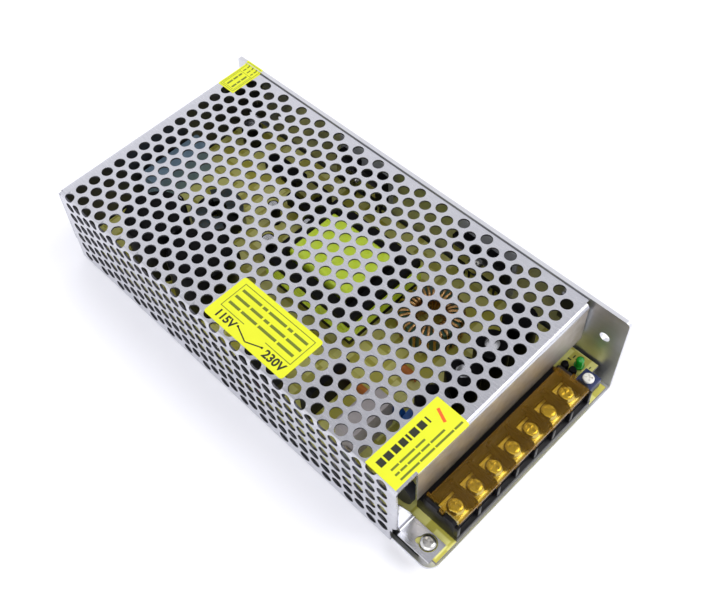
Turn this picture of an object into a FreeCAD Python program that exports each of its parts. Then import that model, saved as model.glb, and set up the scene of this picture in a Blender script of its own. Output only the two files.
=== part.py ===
import FreeCAD, Part

import os
from types import SimpleNamespace

import Sketcher
from FreeCAD import Placement, Rotation, Vector

# Switching power supply in a perforated case: a folded chassis carries a printed circuit board,
# and a folded perforated cover closes the top, the left side and the rear. The screw terminals
# stand in the open front. X is the width with the tall chassis wall at +X, Y the length with the
# terminals at -Y, and Z is up from the face that the unit stands on. All sizes are millimetres.

os.makedirs("parts", exist_ok=True)
doc = FreeCAD.newDocument("MeshCasePowerSupply")
sheet = doc.addObject("Spreadsheet::Sheet", "Sizes")

SIZES = [
    # Case
    ("case_length", 199.0, "overall length, from the front edge of the board to the rear of the chassis"),
    ("case_width", 99.0, "overall width over the tall wall and the perforated side"),
    ("case_height", 42.0, "height of the tall wall"),
    ("chassis_gauge", 1.5, "sheet thickness of the chassis"),
    ("chassis_setback", 1.2, "distance from the front edge of the board to the chassis"),
    ("chassis_side_inset", 0.9, "base plate edge behind the perforated side"),
    ("chassis_bend_radius", 2.0, "outer radius of the fold between base and wall"),
    ("chassis_inner_radius", 0.5, "inner radius of that fold"),
    ("base_corner_radius", 4.5, "rounded corners of the base on the perforated side"),
    ("wall_corner_radius", 1.5, "rounded top corners of the tall wall"),
    ("eye_radius", 2.0, "hole near the front of the wall"),
    ("eye_setback", 7.3, "from the front edge of the wall to that hole"),
    ("eye_height", 27.3, "height of that hole"),
    ("tapped_radius", 1.75, "wall radius of the M4 mounting holes"),
    ("base_hole_span_x", 50.0, "mounting holes in the base, across"),
    ("base_hole_span_y", 150.0, "mounting holes in the base, along"),
    ("wall_hole_span", 150.0, "mounting holes in the wall, along"),
    ("wall_hole_height", 21.0, "mounting holes in the wall, height"),
    # Perforated cover
    ("cover_gauge", 0.8, "sheet thickness of the cover"),
    ("cover_bend_radius", 1.6, "outer radius of the cover's folds"),
    ("cover_drop", 0.8, "top of the cover below the top of the wall"),
    ("cover_wall_gap", 0.3, "gap between the cover and the wall"),
    ("cover_front_setback", 15.8, "front edge of the board to the front of the cover"),
    ("cover_rear_setback", 4.3, "rear of the chassis to the rear of the cover"),
    ("cover_foot", 1.2, "height of the lower edge of the perforated side"),
    ("rear_foot", 1.8, "height of the lower edge of the rear wall"),
    ("hole_side", 4.08, "side of a hole of the grille, with the open area of a round 4.6 mm hole"),
    ("hole_pitch", 6.2, "hole spacing along a row"),
    ("row_spacing", 5.369, "spacing of the rows"),
    ("first_row_inset", 6.0, "front edge of the cover to the first row"),
    ("last_row_inset", 5.0, "least distance from a row to the rear edge"),
    ("edge_hole_inset", 6.4, "right edge of the cover to the first hole of an even row"),
    ("side_row_height", 5.1, "height of the lowest side hole of an odd row"),
    ("lip_left", 10.0, "left side of the cover to the front lip"),
    ("lip_height", 21.0, "height of the lower edge of the front lip"),
    ("lug_length", 10.1, "length of the two screw lugs beside the wall"),
    ("front_lug_foot", 22.5, "lower edge of the front lug"),
    ("front_lug_top", 36.5, "upper edge of the front lug"),
    ("rear_lug_foot", 14.0, "lower edge of the rear lug"),
    ("rear_lug_top", 36.0, "upper edge of the rear lug"),
    ("cheek_width", 8.3, "width of the front cheek beside the terminals"),
    ("cheek_top", 30.8, "upper corner of the cheek at the side"),
    ("cheek_shoulder", 13.0, "upper corner of the cheek beside the terminals"),
    ("corner_notch_height", 9.3, "notch in the lower front corner of the side"),
    ("corner_notch_length", 2.6, "length of that notch"),
    ("rear_tab_width", 8.0, "width of the rear screw tab"),
    ("rear_tab_length", 10.6, "length of the rear screw tab"),
    ("rear_tab_inset", 2.0, "perforated side to the rear tab"),
    ("front_tab_reach", 1.5, "front edge of the board to the front tab"),
    ("side_rear_gap", 0.1, "perforated side to the rear wall"),
    # Printed circuit board and its fixings
    ("board_thickness", 1.6, "printed circuit board"),
    ("board_height", 9.4, "underside of the board"),
    ("board_left_gap", 1.9, "perforated side to the board"),
    ("board_right_gap", 1.0, "tall wall to the board"),
    ("board_rear_setback", 6.1, "rear of the chassis to the board"),
    ("board_notch_x", 5.5, "notch in the front right corner, across"),
    ("board_notch_y", 7.2, "the same notch, along"),
    ("standoff_radius", 3.0, "standoffs under the board"),
    ("screw_radius", 1.5, "shanks of the M3 screws"),
    ("screw_clearance", 0.05, "around the shanks in the standoffs and the board"),
    ("screw_head_radius", 2.8, "pan heads"),
    ("screw_head_height", 2.0, "pan heads"),
    ("screw_length", 6.0, "below the head"),
    ("slot_width", 0.8, "cross slots of the screws"),
    ("slot_depth", 0.8, "cross slots of the screws"),
    ("slot_share", 0.62, "reach of the cross slots, as a share of the head"),
    ("front_fix_x", 4.9, "perforated side to the front left screw"),
    ("front_fix_y", 6.1, "front edge to the front left screw"),
    ("rear_fix_x", 6.0, "perforated side to the rear left screw"),
    ("rear_fix_y", 11.5, "rear of the chassis to the rear left screw"),
    ("middle_fix_y", 14.0, "middle left screw, along"),
    ("right_fix_x", 6.5, "wall's outer face to the right screws"),
    ("front_right_fix_y", 21.5, "front edge to the front right screw"),
    ("rear_right_fix_y", 12.5, "rear of the chassis to the rear right screw"),
    ("tab_hole_radius", 3.2, "hole in the front tab, round the screw's head"),
    ("countersink", 1.3, "countersinks of the wall"),
    ("cover_screw_length", 4.0, "screws of the lugs, overall"),
    ("front_lug_screw_y", 20.3, "front of the chassis to the front lug screw"),
    ("front_lug_screw_z", 29.5, "height of the front lug screw"),
    ("rear_lug_screw_y", 11.5, "rear of the chassis to the rear lug screw"),
    ("rear_lug_screw_z", 25.5, "height of the rear lug screw"),
    # Insulating film under the board
    ("film_thickness", 0.4, "black film"),
    ("film_side_gap", 0.5, "gap between the film and the perforated side"),
    ("film_wall_gap", 1.5, "gap between the film and the wall"),
    ("film_setback", 1.8, "front and rear edges of the chassis to the film"),
    ("film_rim_height", 9.8, "upper edge of the part that is turned up at the side"),
    ("film_hole_clearance", 0.3, "round the standoffs"),
    # Terminal block
    ("pole_pitch", 9.5, "spacing of the terminals"),
    ("pole_count", 7, "number of terminals"),
    ("block_x", -3.0, "middle of the block"),
    ("block_depth", 17.3, "front to back"),
    ("block_ledge_height", 3.0, "front ledge above the board"),
    ("block_ledge_depth", 1.6, "front ledge"),
    ("block_seat_height", 5.0, "seat of the contacts above the board"),
    ("block_seat_end", 11.3, "front of the block to the rear of the seat"),
    ("block_height", 8.4, "rear of the block above the board"),
    ("barrier_height", 10.8, "partitions above the board"),
    ("barrier_thickness", 1.4, "partitions"),
    ("barrier_end", 13.2, "front of the block to the rear of the partitions"),
    ("barrier_chamfer", 1.0, "upper corners of the partitions"),
    ("end_wall_thickness", 1.5, "end walls of the block"),
    ("end_wall_rear", 14.9, "front of the block to the rear of the end walls"),
    ("snap_notch_y", 6.2, "front of the block to the notch in each end wall"),
    ("snap_notch_width", 2.6, "that notch"),
    ("snap_notch_depth", 1.8, "that notch"),
    ("terminal_bore_radius", 2.0, "clearance under each screw"),
    ("terminal_bore_depth", 3.5, "below the seat"),
    ("contact_width", 7.4, "contact plates"),
    ("contact_thickness", 1.0, "contact plates"),
    ("contact_front", 2.0, "front of the block to the plates"),
    ("contact_length", 8.9, "contact plates"),
    ("contact_leg_width", 1.2, "legs through the board"),
    ("contact_leg_reach", 2.0, "legs below the board"),
    ("contact_hole_radius", 0.9, "holes of the board for the legs"),
    ("washer_size", 7.2, "square washers"),
    ("washer_thickness", 1.0, "square washers"),
    ("terminal_screw_y", 6.3, "front of the block to the screws"),
    ("terminal_head_radius", 3.1, "heads of the terminal screws"),
    ("terminal_head_height", 2.3, "heads of the terminal screws"),
    ("terminal_shank_radius", 1.6, "shanks of the terminal screws"),
    ("terminal_shank_reach", 3.0, "shanks below the seat"),
    # Hinged lid of the terminals
    ("lid_side_gap", 0.25, "lid to the end walls"),
    ("lid_lift", 0.3, "lid above the partitions"),
    ("lid_thickness", 1.0, "lid"),
    ("lid_front", 0.6, "front of the block to the lid"),
    ("lid_length", 13.0, "lid, front to back"),
    ("lid_rim_inset", 1.3, "raised line along the lid"),
    ("lid_rim_width", 0.8, "raised line"),
    ("lid_rim_height", 0.3, "raised line"),
    ("lid_skirt_thickness", 0.7, "front edge, turned down"),
    ("lid_skirt_depth", 0.8, "front edge below the underside"),
    ("lid_tooth_width", 2.4, "teeth of the skirt"),
    ("lid_tooth_depth", 1.1, "teeth below the skirt"),
    ("lid_ear_radius", 1.1, "ears round the hinge pins"),
    ("lid_ear_thickness", 1.0, "ears"),
    ("lid_pin_radius", 0.8, "hinge pins"),
    ("lid_pin_clearance", 0.08, "hinge pins in the end walls"),
    ("lid_pin_reach", 0.85, "hinge pins in the end walls"),
    ("lid_pivot_y", 12.6, "front of the block to the pivot"),
    ("lid_pivot_drop", 0.9, "pivot below the tops of the partitions"),
    ("lid_nib_width", 1.6, "nibs in the notches of the end walls"),
    ("lid_nib_reach", 1.45, "nibs beyond the lid's sides"),
    # Status lamp and output trimmer
    ("lamp_x", 40.9, "status lamp"),
    ("lamp_y", 11.5, "front edge to the status lamp"),
    ("lamp_radius", 1.5, "lens"),
    ("lamp_flange_radius", 1.9, "flange of the lens"),
    ("lamp_flange_height", 1.0, "flange of the lens"),
    ("lamp_height", 5.3, "lens with its flange"),
    ("lamp_lift", 2.0, "lens above the board"),
    ("lamp_lead_width", 0.5, "leads of the lamp"),
    ("lamp_lead_spacing", 2.54, "leads of the lamp"),
    ("bead_x", 36.9, "two small capacitors beside the lamp"),
    ("bead_y", 11.5, "front edge to the first of them"),
    ("bead_spacing", 3.4, "spacing of the two"),
    ("bead_radius", 1.5, "small capacitors beside the lamp"),
    ("bead_height", 5.0, "small capacitors beside the lamp"),
    ("trimmer_x", 37.2, "output trimmer"),
    ("trimmer_y", 5.2, "front edge to the trimmer"),
    ("trimmer_size", 6.5, "trimmer housing"),
    ("trimmer_height", 5.0, "trimmer housing"),
    ("rotor_radius", 2.4, "trimmer rotor"),
    ("rotor_height", 1.0, "trimmer rotor"),
    ("rotor_shaft_radius", 1.2, "shaft of the rotor"),
    ("rotor_shaft_length", 2.0, "shaft of the rotor"),
    ("rotor_clearance", 0.06, "round the shaft"),
    ("rotor_lift", 0.1, "under the rotor's disc"),
    # Input voltage selector behind the perforated side
    ("selector_left_gap", 4.0, "perforated side to the selector"),
    ("selector_depth", 8.0, "selector housing, across"),
    ("selector_front", -20.0, "front of the selector housing"),
    ("selector_length", 20.0, "selector housing, along"),
    ("selector_height", 10.0, "selector housing above the board"),
    ("slider_length", 4.0, "slider, along"),
    ("slider_height", 3.0, "slider"),
    ("slider_reach", 1.6, "slider outside its housing"),
    ("slider_root", 1.8, "slider inside its housing"),
    ("slider_travel", 4.0, "travel of the slider"),
    ("slider_clearance", 0.15, "slider in its slot"),
    ("slider_lift", 3.5, "slider above the board"),
    # Parts on the board, laid out for the case width and length given first
    ("layout_width", 99.0, "case width that the places across belong to"),
    ("layout_length", 199.0, "case length that the places along belong to"),
    ("layout_height", 42.0, "case height that the heights belong to"),
    ("bulk_radius", 12.5, "input capacitors"),
    ("bulk_height", 26.5, "input capacitors"),
    ("bulk_x", -29.5, "input capacitors"),
    ("bulk_rear_y", 60.5, "rear input capacitor"),
    ("bulk_front_y", 34.0, "front input capacitor"),
    ("can_chamfer", 0.9, "rolled shoulder of the capacitors"),
    ("output_radius", 6.25, "output capacitors"),
    ("output_height", 25.0, "output capacitors"),
    ("output_first_x", -15.0, "first output capacitor"),
    ("output_spacing", 14.9, "spacing of the output capacitors"),
    ("output_count", 4, "number of output capacitors"),
    ("output_y", -68.0, "output capacitors"),
    ("core_length", 44.0, "transformer core"),
    ("core_width", 38.0, "transformer core"),
    ("core_height", 14.0, "transformer core"),
    ("core_lift", 5.0, "transformer core above the board"),
    ("core_leg", 5.5, "outer legs and yokes of the core"),
    ("core_centre_leg", 12.0, "centre leg of the core"),
    ("core_x", 8.5, "middle of the transformer"),
    ("core_y", -2.0, "middle of the transformer"),
    ("bobbin_wall", 0.9, "walls of the bobbin"),
    ("bobbin_clearance", 0.3, "bobbin in the core"),
    ("coil_build", 4.8, "winding over the bobbin, across"),
    ("coil_rise", 2.3, "winding over the bobbin, up and down"),
    ("coil_corner", 1.6, "rounded edges of the winding"),
    ("tape_thickness", 0.2, "tape round the core"),
    ("tape_width", 8.0, "tape round the core"),
    ("tape_clearance", 0.05, "tape to the core"),
    ("toroid_x", 17.5, "output choke"),
    ("toroid_y", -38.5, "output choke"),
    ("toroid_outer", 11.5, "ring of the output choke"),
    ("toroid_inner", 6.5, "ring of the output choke"),
    ("toroid_height", 10.0, "ring of the output choke"),
    ("toroid_wire", 1.2, "wire of the output choke"),
    ("toroid_turns", 16, "turns that show on the output choke"),
    ("toroid_clearance", 0.25, "wire to the ring"),
    ("choke_x", -4.0, "input choke"),
    ("choke_y", 57.0, "input choke"),
    ("choke_outer", 9.4, "ring of the input choke"),
    ("choke_inner", 5.4, "ring of the input choke"),
    ("choke_height", 8.0, "ring of the input choke"),
    ("choke_build", 1.2, "windings of the input choke"),
    ("choke_clearance", 0.15, "windings to the ring"),
    ("choke_sector", 130.0, "angle of each winding, in degrees"),
    ("driver_x", 27.0, "driver transformer"),
    ("driver_y", 36.0, "driver transformer"),
    ("driver_size", 13.0, "core of the driver transformer"),
    ("driver_leg", 2.6, "legs of that core"),
    ("driver_core_height", 6.0, "core of the driver transformer"),
    ("driver_lift", 3.5, "that core above the board"),
    ("driver_coil_rise", 2.8, "its winding above and below the core"),
    ("film_cap_length", 30.0, "film capacitor at the rear"),
    ("film_cap_depth", 8.5, "film capacitor at the rear"),
    ("film_cap_height", 15.0, "film capacitor at the rear"),
    ("film_cap_y", 87.25, "film capacitor at the rear"),
    ("line_cap_length", 20.0, "line capacitor at the front"),
    ("line_cap_depth", 9.0, "line capacitor at the front"),
    ("line_cap_height", 16.0, "line capacitor at the front"),
    ("line_cap_x", -30.5, "line capacitor at the front"),
    ("line_cap_y", -51.0, "line capacitor at the front"),
    ("box_cap_radius", 1.0, "rounded edges of the box capacitors"),
    ("disc_radius", 4.0, "disc capacitors"),
    ("disc_thickness", 2.4, "disc capacitors"),
    ("disc_first_x", -18.5, "first disc capacitor"),
    ("disc_first_y", -54.5, "first disc capacitor"),
    ("disc_second_x", -17.0, "second disc capacitor"),
    ("disc_second_y", -60.2, "second disc capacitor"),
    ("lead_width", 0.7, "wire leads"),
    ("lead_lift", 1.0, "discs above the board"),
    ("lead_share", 0.6, "legs of a disc from its middle, as a share of its radius"),
    ("thermistor_radius", 6.0, "thermistor disc"),
    ("thermistor_thickness", 4.0, "thermistor disc"),
    ("thermistor_x", -38.2, "thermistor"),
    ("thermistor_gap", 0.3, "terminal block to the thermistor"),
    ("fuse_x", -44.2, "fuse"),
    ("fuse_y", -62.0, "fuse"),
    ("fuse_length", 20.0, "fuse"),
    ("fuse_cap_radius", 2.6, "end caps of the fuse"),
    ("fuse_cap_length", 5.5, "end caps of the fuse"),
    ("fuse_glass_radius", 2.3, "glass of the fuse"),
    ("fuse_height", 4.5, "middle of the fuse above the board"),
    ("clip_wall", 0.6, "fuse clips"),
    ("clip_length", 4.5, "fuse clips"),
    ("clip_clearance", 0.05, "fuse in its clips"),
    ("clip_mouth", 3.4, "opening at the top of the clips"),
    ("bridge_x", -31.0, "bridge rectifier"),
    ("bridge_y", -33.0, "bridge rectifier"),
    ("bridge_width", 21.0, "bridge rectifier"),
    ("bridge_thickness", 3.6, "bridge rectifier"),
    ("bridge_height", 15.0, "bridge rectifier"),
    ("bridge_lift", 3.0, "bridge rectifier above the board"),
    ("resistor_radius", 1.6, "resistors"),
    ("resistor_length", 7.0, "resistors"),
    ("resistor_lift", 2.2, "middle of the resistors above the board"),
    ("resistor_wire", 1.0, "wire that shows at each end of a resistor"),
    ("resistor_left_x", -19.7, "left resistor"),
    ("resistor_left_y", -39.2, "left resistor"),
    ("resistor_middle_x", -3.0, "middle resistor"),
    ("resistor_middle_y", -45.5, "middle resistor"),
    ("small_height", 11.0, "small capacitors"),
    ("small_radius", 2.5, "slim capacitors"),
    ("start_radius", 3.0, "capacitor beside the transformer"),
    ("corner_radius", 4.0, "capacitors at the rear"),
    ("small_left_x", -13.2, "slim capacitor beside the input capacitors"),
    ("small_left_y", 37.0, "slim capacitor beside the input capacitors"),
    ("small_driver_x", 13.0, "slim capacitor beside the driver transformer"),
    ("small_driver_y", 42.0, "slim capacitor beside the driver transformer"),
    ("start_x", -0.3, "capacitor behind the transformer"),
    ("start_y", 30.5, "capacitor behind the transformer"),
    ("small_middle_x", 16.0, "slim capacitor behind the transformer"),
    ("small_middle_y", 25.2, "slim capacitor behind the transformer"),
    ("corner_x", 36.3, "capacitor in the rear right corner"),
    ("corner_y", 81.8, "capacitor in the rear right corner"),
    ("input_x", -13.2, "capacitor beside the input choke"),
    ("input_y", 73.0, "capacitor beside the input choke"),
    ("chip_x", 34.0, "control chip"),
    ("chip_y", 58.0, "control chip"),
    ("chip_width", 6.4, "control chip"),
    ("chip_length", 19.5, "control chip"),
    ("chip_thickness", 3.4, "control chip"),
    ("chip_lift", 0.6, "control chip above the board"),
    ("chip_pins", 4, "groups of pins on each side of the chip"),
    ("chip_pin_share", 0.6, "width of a group of pins, as a share of its pitch"),
    # Power devices that are clamped to the wall
    ("pad_thickness", 0.5, "insulating pads on the wall"),
    ("pad_length", 28.0, "insulating pads"),
    ("pad_foot", 14.0, "lower edge of the pads"),
    ("pad_top", 38.5, "upper edge of the pads"),
    ("device_width", 10.0, "power devices, along"),
    ("device_thickness", 4.4, "power devices, across"),
    ("device_height", 15.0, "power devices"),
    ("device_foot", 18.0, "lower edge of the power devices"),
    ("device_spacing", 14.6, "spacing of the two devices on a pad"),
    ("device_clearance", 0.05, "devices to the pad and the bar"),
    ("transistor_y", 23.5, "middle of the two transistors"),
    ("rectifier_y", -38.0, "middle of the two output rectifiers"),
    ("clamp_height", 27.0, "clamp screws"),
    ("bar_thickness", 1.4, "clamp bars"),
    ("bar_width", 6.0, "clamp bars"),
    ("bar_length", 21.0, "clamp bars"),
    ("clamp_thread", 1.2, "clamp screws in the wall"),
    # Stickers
    ("sticker_thickness", 0.15, "stickers"),
    ("front_sticker_left", 1.7, "side of the case to the front sticker"),
    ("front_sticker_length", 32.5, "front sticker, across"),
    ("front_sticker_front", 17.5, "front edge to the front sticker"),
    ("front_sticker_depth", 12.2, "front sticker, along"),
    ("selector_sticker_left", 2.9, "side of the case to the selector sticker"),
    ("selector_sticker_width", 20.2, "selector sticker, across"),
    ("selector_sticker_front", -29.4, "front edge of the selector sticker"),
    ("selector_sticker_length", 39.9, "selector sticker, along"),
    ("small_sticker_right", 1.9, "wall's outer face to the small sticker"),
    ("small_sticker_width", 15.2, "small sticker, across"),
    ("small_sticker_rear", 6.0, "rear of the chassis to the small sticker"),
    ("small_sticker_length", 8.8, "small sticker, along"),
]

for row, (alias, number, note) in enumerate(SIZES, start=1):
    sheet.set(f"A{row}", str(number))
    sheet.setAlias(f"A{row}", alias)
    sheet.set(f"B{row}", note)
doc.recompute()


class Length:
    """A size that is known both as a number and as the sheet expression that gives it."""

    def __init__(self, value, text):
        self.value = value
        self.text = text

    @staticmethod
    def of(other):
        if isinstance(other, Length):
            return other
        return Length(float(other), f"({float(other)!r})")

    def __add__(self, other):
        other = Length.of(other)
        return Length(self.value + other.value, f"({self.text} + {other.text})")

    def __sub__(self, other):
        other = Length.of(other)
        return Length(self.value - other.value, f"({self.text} - {other.text})")

    def __mul__(self, factor):
        factor = Length.of(factor)
        return Length(self.value * factor.value, f"({self.text} * {factor.text})")

    def __truediv__(self, factor):
        factor = Length.of(factor)
        return Length(self.value / factor.value, f"({self.text} / {factor.text})")

    def __neg__(self):
        return Length(-self.value, f"(0 - {self.text})")

    def __rsub__(self, other):
        return Length.of(other) - self

    __radd__ = __add__
    __rmul__ = __mul__

    def __float__(self):
        return self.value


S = SimpleNamespace(**{
    alias: Length(float(sheet.get(alias)), f"Sizes.{alias}")
    for alias, _, _ in SIZES
})
nodes = {}

# The board's layout follows the case: places spread or close up with it, and a part gets smaller
# with a smaller case, but not larger with a larger one.
ACROSS = S.case_width / S.layout_width
ALONG = S.case_length / S.layout_length
RISE = S.case_height / S.layout_height


def smallest(*lengths):
    """The least of several lengths."""
    least = lengths[0]
    for length in lengths[1:]:
        least = Length(min(least.value, length.value), f"min({least.text}; {length.text})")
    return least


PLAN = smallest(ACROSS, ALONG, Length.of(1))
LOWERED = smallest(RISE, Length.of(1))
LAYOUT = {
    "bulk_x input_x output_first_x output_spacing core_x toroid_x choke_x driver_x line_cap_x disc_first_x "
    "disc_second_x thermistor_x fuse_x bridge_x resistor_left_x resistor_middle_x chip_x small_left_x "
    "small_driver_x start_x small_middle_x corner_x": ACROSS,
    "bulk_rear_y bulk_front_y input_y output_y core_y toroid_y choke_y driver_y film_cap_y line_cap_y "
    "disc_first_y disc_second_y fuse_y bridge_y resistor_left_y resistor_middle_y chip_y "
    "small_left_y small_driver_y start_y small_middle_y corner_y selector_front transistor_y rectifier_y "
    "middle_fix_y": ALONG,
    "bulk_radius output_radius core_length core_width core_leg core_centre_leg coil_build toroid_outer "
    "toroid_inner choke_outer choke_inner driver_size film_cap_length film_cap_depth line_cap_length "
    "line_cap_depth disc_radius disc_thickness thermistor_radius thermistor_thickness fuse_length bridge_width "
    "bridge_thickness resistor_length chip_width chip_length small_radius start_radius corner_radius "
    "selector_depth selector_left_gap": PLAN,
    "bulk_height output_height core_height core_lift": LOWERED,
}
for aliases, scale in LAYOUT.items():
    for alias in aliases.split():
        setattr(S, alias, getattr(S, alias) * scale)


def bind(item, path, length):
    """Ties one property of a document object to the sheet."""
    item.setExpression(path, Length.of(length).text)


def bind_place(item, x, y, z):
    for letter, length in zip("xyz", (x, y, z)):
        bind(item, f"Placement.Base.{letter}", length)


def box(name, x, y, z):
    """A box between two places on each axis."""
    item = doc.addObject("Part::Box", name)
    for path, (low, high) in zip(("Length", "Width", "Height"), (x, y, z)):
        bind(item, path, Length.of(high) - low)
    bind_place(item, x[0], y[0], z[0])
    return item


AXIS_TURNS = {
    "X": Rotation(Vector(0, 1, 0), 90),
    "Y": Rotation(Vector(1, 0, 0), -90),
    "Z": Rotation(),
}


def rod(name, axis, start, length, radius, angle=None):
    """A cylinder from its start point along +X, +Y or +Z."""
    item = doc.addObject("Part::Cylinder", name)
    item.Placement = Placement(Vector(), AXIS_TURNS[axis])
    bind(item, "Radius", radius)
    bind(item, "Height", length)
    if angle is not None:
        bind(item, "Angle", angle)
    bind_place(item, *start)
    return item


def fuse(name, *items):
    item = doc.addObject("Part::MultiFuse", name)
    item.Shapes = list(items)
    return item


def group(name, items):
    item = doc.addObject("Part::Compound", name)
    item.Links = list(items)
    return item


def cut(name, base, *tools):
    item = doc.addObject("Part::Cut", name)
    item.Base = base
    item.Tool = tools[0] if len(tools) == 1 else group(f"{name}_tools", tools)
    return item


def node(label, item):
    """Names a finished sub-part, which is written under that name."""
    item.Label = label
    nodes[label] = item
    return item


class Design:
    """A body that is built up from sketches on its own origin planes."""

    NORMAL_SIGN = {"XY_Plane": 1, "YZ_Plane": 1, "XZ_Plane": -1}

    def __init__(self, name):
        self.body = doc.addObject("PartDesign::Body", f"{name}_body")
        self.name = name
        self.count = 0

    def label(self, kind):
        self.count += 1
        return f"{self.name}_{kind}_{self.count}"

    def sketch(self, plane, level, outlines, circles):
        """Draws closed outlines and circles on a plane, each point tied to the sheet."""
        drawing = self.body.newObject("Sketcher::SketchObject", self.label("sketch"))
        support = [item for item in self.body.Origin.OriginFeatures if item.Role == plane][0]
        drawing.AttachmentSupport = [(support, "")]
        drawing.MapMode = "FlatFace"
        bind(drawing, "AttachmentOffset.Base.z", Length.of(level) * self.NORMAL_SIGN[plane])
        for outline in outlines:
            self.draw_outline(drawing, outline)
        for across, up, radius in circles:
            self.draw_circle(drawing, across, up, radius)
        return drawing

    @staticmethod
    def pin(drawing, kind, index, point, length):
        """Ties one coordinate of a point to the sketch's root point."""
        length = Length.of(length)
        rule = Sketcher.Constraint(kind, -1, 1, index, point, length.value)
        number = drawing.addConstraint(rule)
        name = f"{kind}_{index}_{point}"
        drawing.renameConstraint(number, name)
        drawing.setExpression(f"Constraints.{name}", length.text)

    def draw_outline(self, drawing, outline):
        first = drawing.GeometryCount
        flat = [Vector(float(across), float(up), 0) for across, up in outline]
        for start, end in zip(flat, flat[1:] + flat[:1]):
            drawing.addGeometry(Part.LineSegment(start, end))
        for step, (across, up) in enumerate(outline):
            index = first + step
            following = first + (step + 1) % len(outline)
            drawing.addConstraint(Sketcher.Constraint("Coincident", index, 2, following, 1))
            self.pin(drawing, "DistanceX", index, 1, across)
            self.pin(drawing, "DistanceY", index, 1, up)

    def draw_circle(self, drawing, across, up, radius):
        centre = Vector(float(across), float(up), 0)
        index = drawing.addGeometry(Part.Circle(centre, Vector(0, 0, 1), float(radius)))
        self.pin(drawing, "DistanceX", index, 3, across)
        self.pin(drawing, "DistanceY", index, 3, up)
        number = drawing.addConstraint(Sketcher.Constraint("Radius", index, float(radius)))
        drawing.renameConstraint(number, f"Radius_{index}")
        drawing.setExpression(f"Constraints.Radius_{index}", Length.of(radius).text)

    def pad(self, plane, level, length, outlines=(), circles=(), both_ways=False):
        """Adds material from a sketch towards the positive axis, or both ways."""
        drawing = self.sketch(plane, level, outlines, circles)
        feature = self.body.newObject("PartDesign::Pad", self.label("pad"))
        feature.Profile = drawing
        if both_ways:
            feature.SideType = "Symmetric"
        feature.Reversed = self.NORMAL_SIGN[plane] < 0
        bind(feature, "Length", length)
        doc.recompute()
        return feature

    def pocket(self, plane, level, length, outlines=(), circles=()):
        """Cuts from a sketch towards the positive axis, and checks that something went."""
        before = self.body.Shape.Volume
        drawing = self.sketch(plane, level, outlines, circles)
        feature = self.body.newObject("PartDesign::Pocket", self.label("pocket"))
        feature.Profile = drawing
        feature.Reversed = self.NORMAL_SIGN[plane] > 0
        bind(feature, "Length", length)
        doc.recompute()
        if self.body.Shape.Volume > before - 1e-3:
            raise RuntimeError(f"{feature.Name} removes nothing")
        return feature

    def revolve(self, profile):
        """Turns a half profile, drawn as radius and height, about the body's own Z axis."""
        drawing = self.sketch("XZ_Plane", 0, [profile], ())
        feature = self.body.newObject("PartDesign::Revolution", self.label("revolve"))
        feature.Profile = drawing
        feature.ReferenceAxis = (drawing, ["V_Axis"])
        feature.Angle = 360
        return feature

    def dress(self, kind, size, wanted):
        """Fillets or chamfers the edges of the last feature that a test picks."""
        doc.recompute()
        base = self.body.Tip
        names = [f"Edge{number}" for number, edge in enumerate(base.Shape.Edges, start=1) if wanted(edge)]
        feature = self.body.newObject(f"PartDesign::{kind}", self.label(kind.lower()))
        feature.Base = (base, names)
        bind(feature, "Radius" if kind == "Fillet" else "Size", size)
        doc.recompute()
        return feature


def lies_along(edge, axis):
    """Whether an edge is straight and runs along the given axis."""
    if len(edge.Vertexes) != 2:
        return False
    run = edge.Vertexes[1].Point - edge.Vertexes[0].Point
    return abs(abs(run.normalize().dot(axis)) - 1) < 1e-6


def near(value, length):
    return abs(value - float(length)) < 1e-3


ALONG_X = Vector(1, 0, 0)
ALONG_Y = Vector(0, 1, 0)
ALONG_Z = Vector(0, 0, 1)

# Places that several pieces share
LEFT = -S.case_width / 2
RIGHT = S.case_width / 2
FRONT = -S.case_length / 2
REAR = S.case_length / 2
WALL_FACE = RIGHT - S.chassis_gauge
CHASSIS_FRONT = FRONT + S.chassis_setback
BOARD_TOP = S.board_height + S.board_thickness
COVER_TOP = S.case_height - S.cover_drop
COVER_FRONT = FRONT + S.cover_front_setback
COVER_REAR = REAR - S.cover_rear_setback
COVER_RIGHT = WALL_FACE - S.cover_wall_gap
BLOCK_INNER = S.pole_pitch * S.pole_count / 2
BLOCK_HALF = BLOCK_INNER + S.end_wall_thickness
POLES = [S.block_x + S.pole_pitch * (pole - (S.pole_count.value - 1) / 2) for pole in range(int(S.pole_count.value))]

FRONT_FIX = (LEFT + S.front_fix_x, FRONT + S.front_fix_y)
REAR_FIX = (LEFT + S.rear_fix_x, REAR - S.rear_fix_y)
MIDDLE_FIX = (LEFT + S.front_fix_x, S.middle_fix_y)
FRONT_RIGHT_FIX = (RIGHT - S.right_fix_x, FRONT + S.front_right_fix_y)
REAR_RIGHT_FIX = (RIGHT - S.right_fix_x, REAR - S.rear_right_fix_y)
FIXES = [FRONT_FIX, REAR_FIX, MIDDLE_FIX, FRONT_RIGHT_FIX, REAR_RIGHT_FIX]
COVER_SCREWS = [
    (CHASSIS_FRONT + S.front_lug_screw_y, S.front_lug_screw_z),
    (REAR - S.rear_lug_screw_y, S.rear_lug_screw_z),
]
CLAMP_PLACES = [S.transistor_y, S.rectifier_y]


def rectangle(x, y):
    """Four corners from two places on each axis."""
    return [(x[0], y[0]), (x[1], y[0]), (x[1], y[1]), (x[0], y[1])]


# Chassis: base and tall wall folded from one sheet

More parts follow.
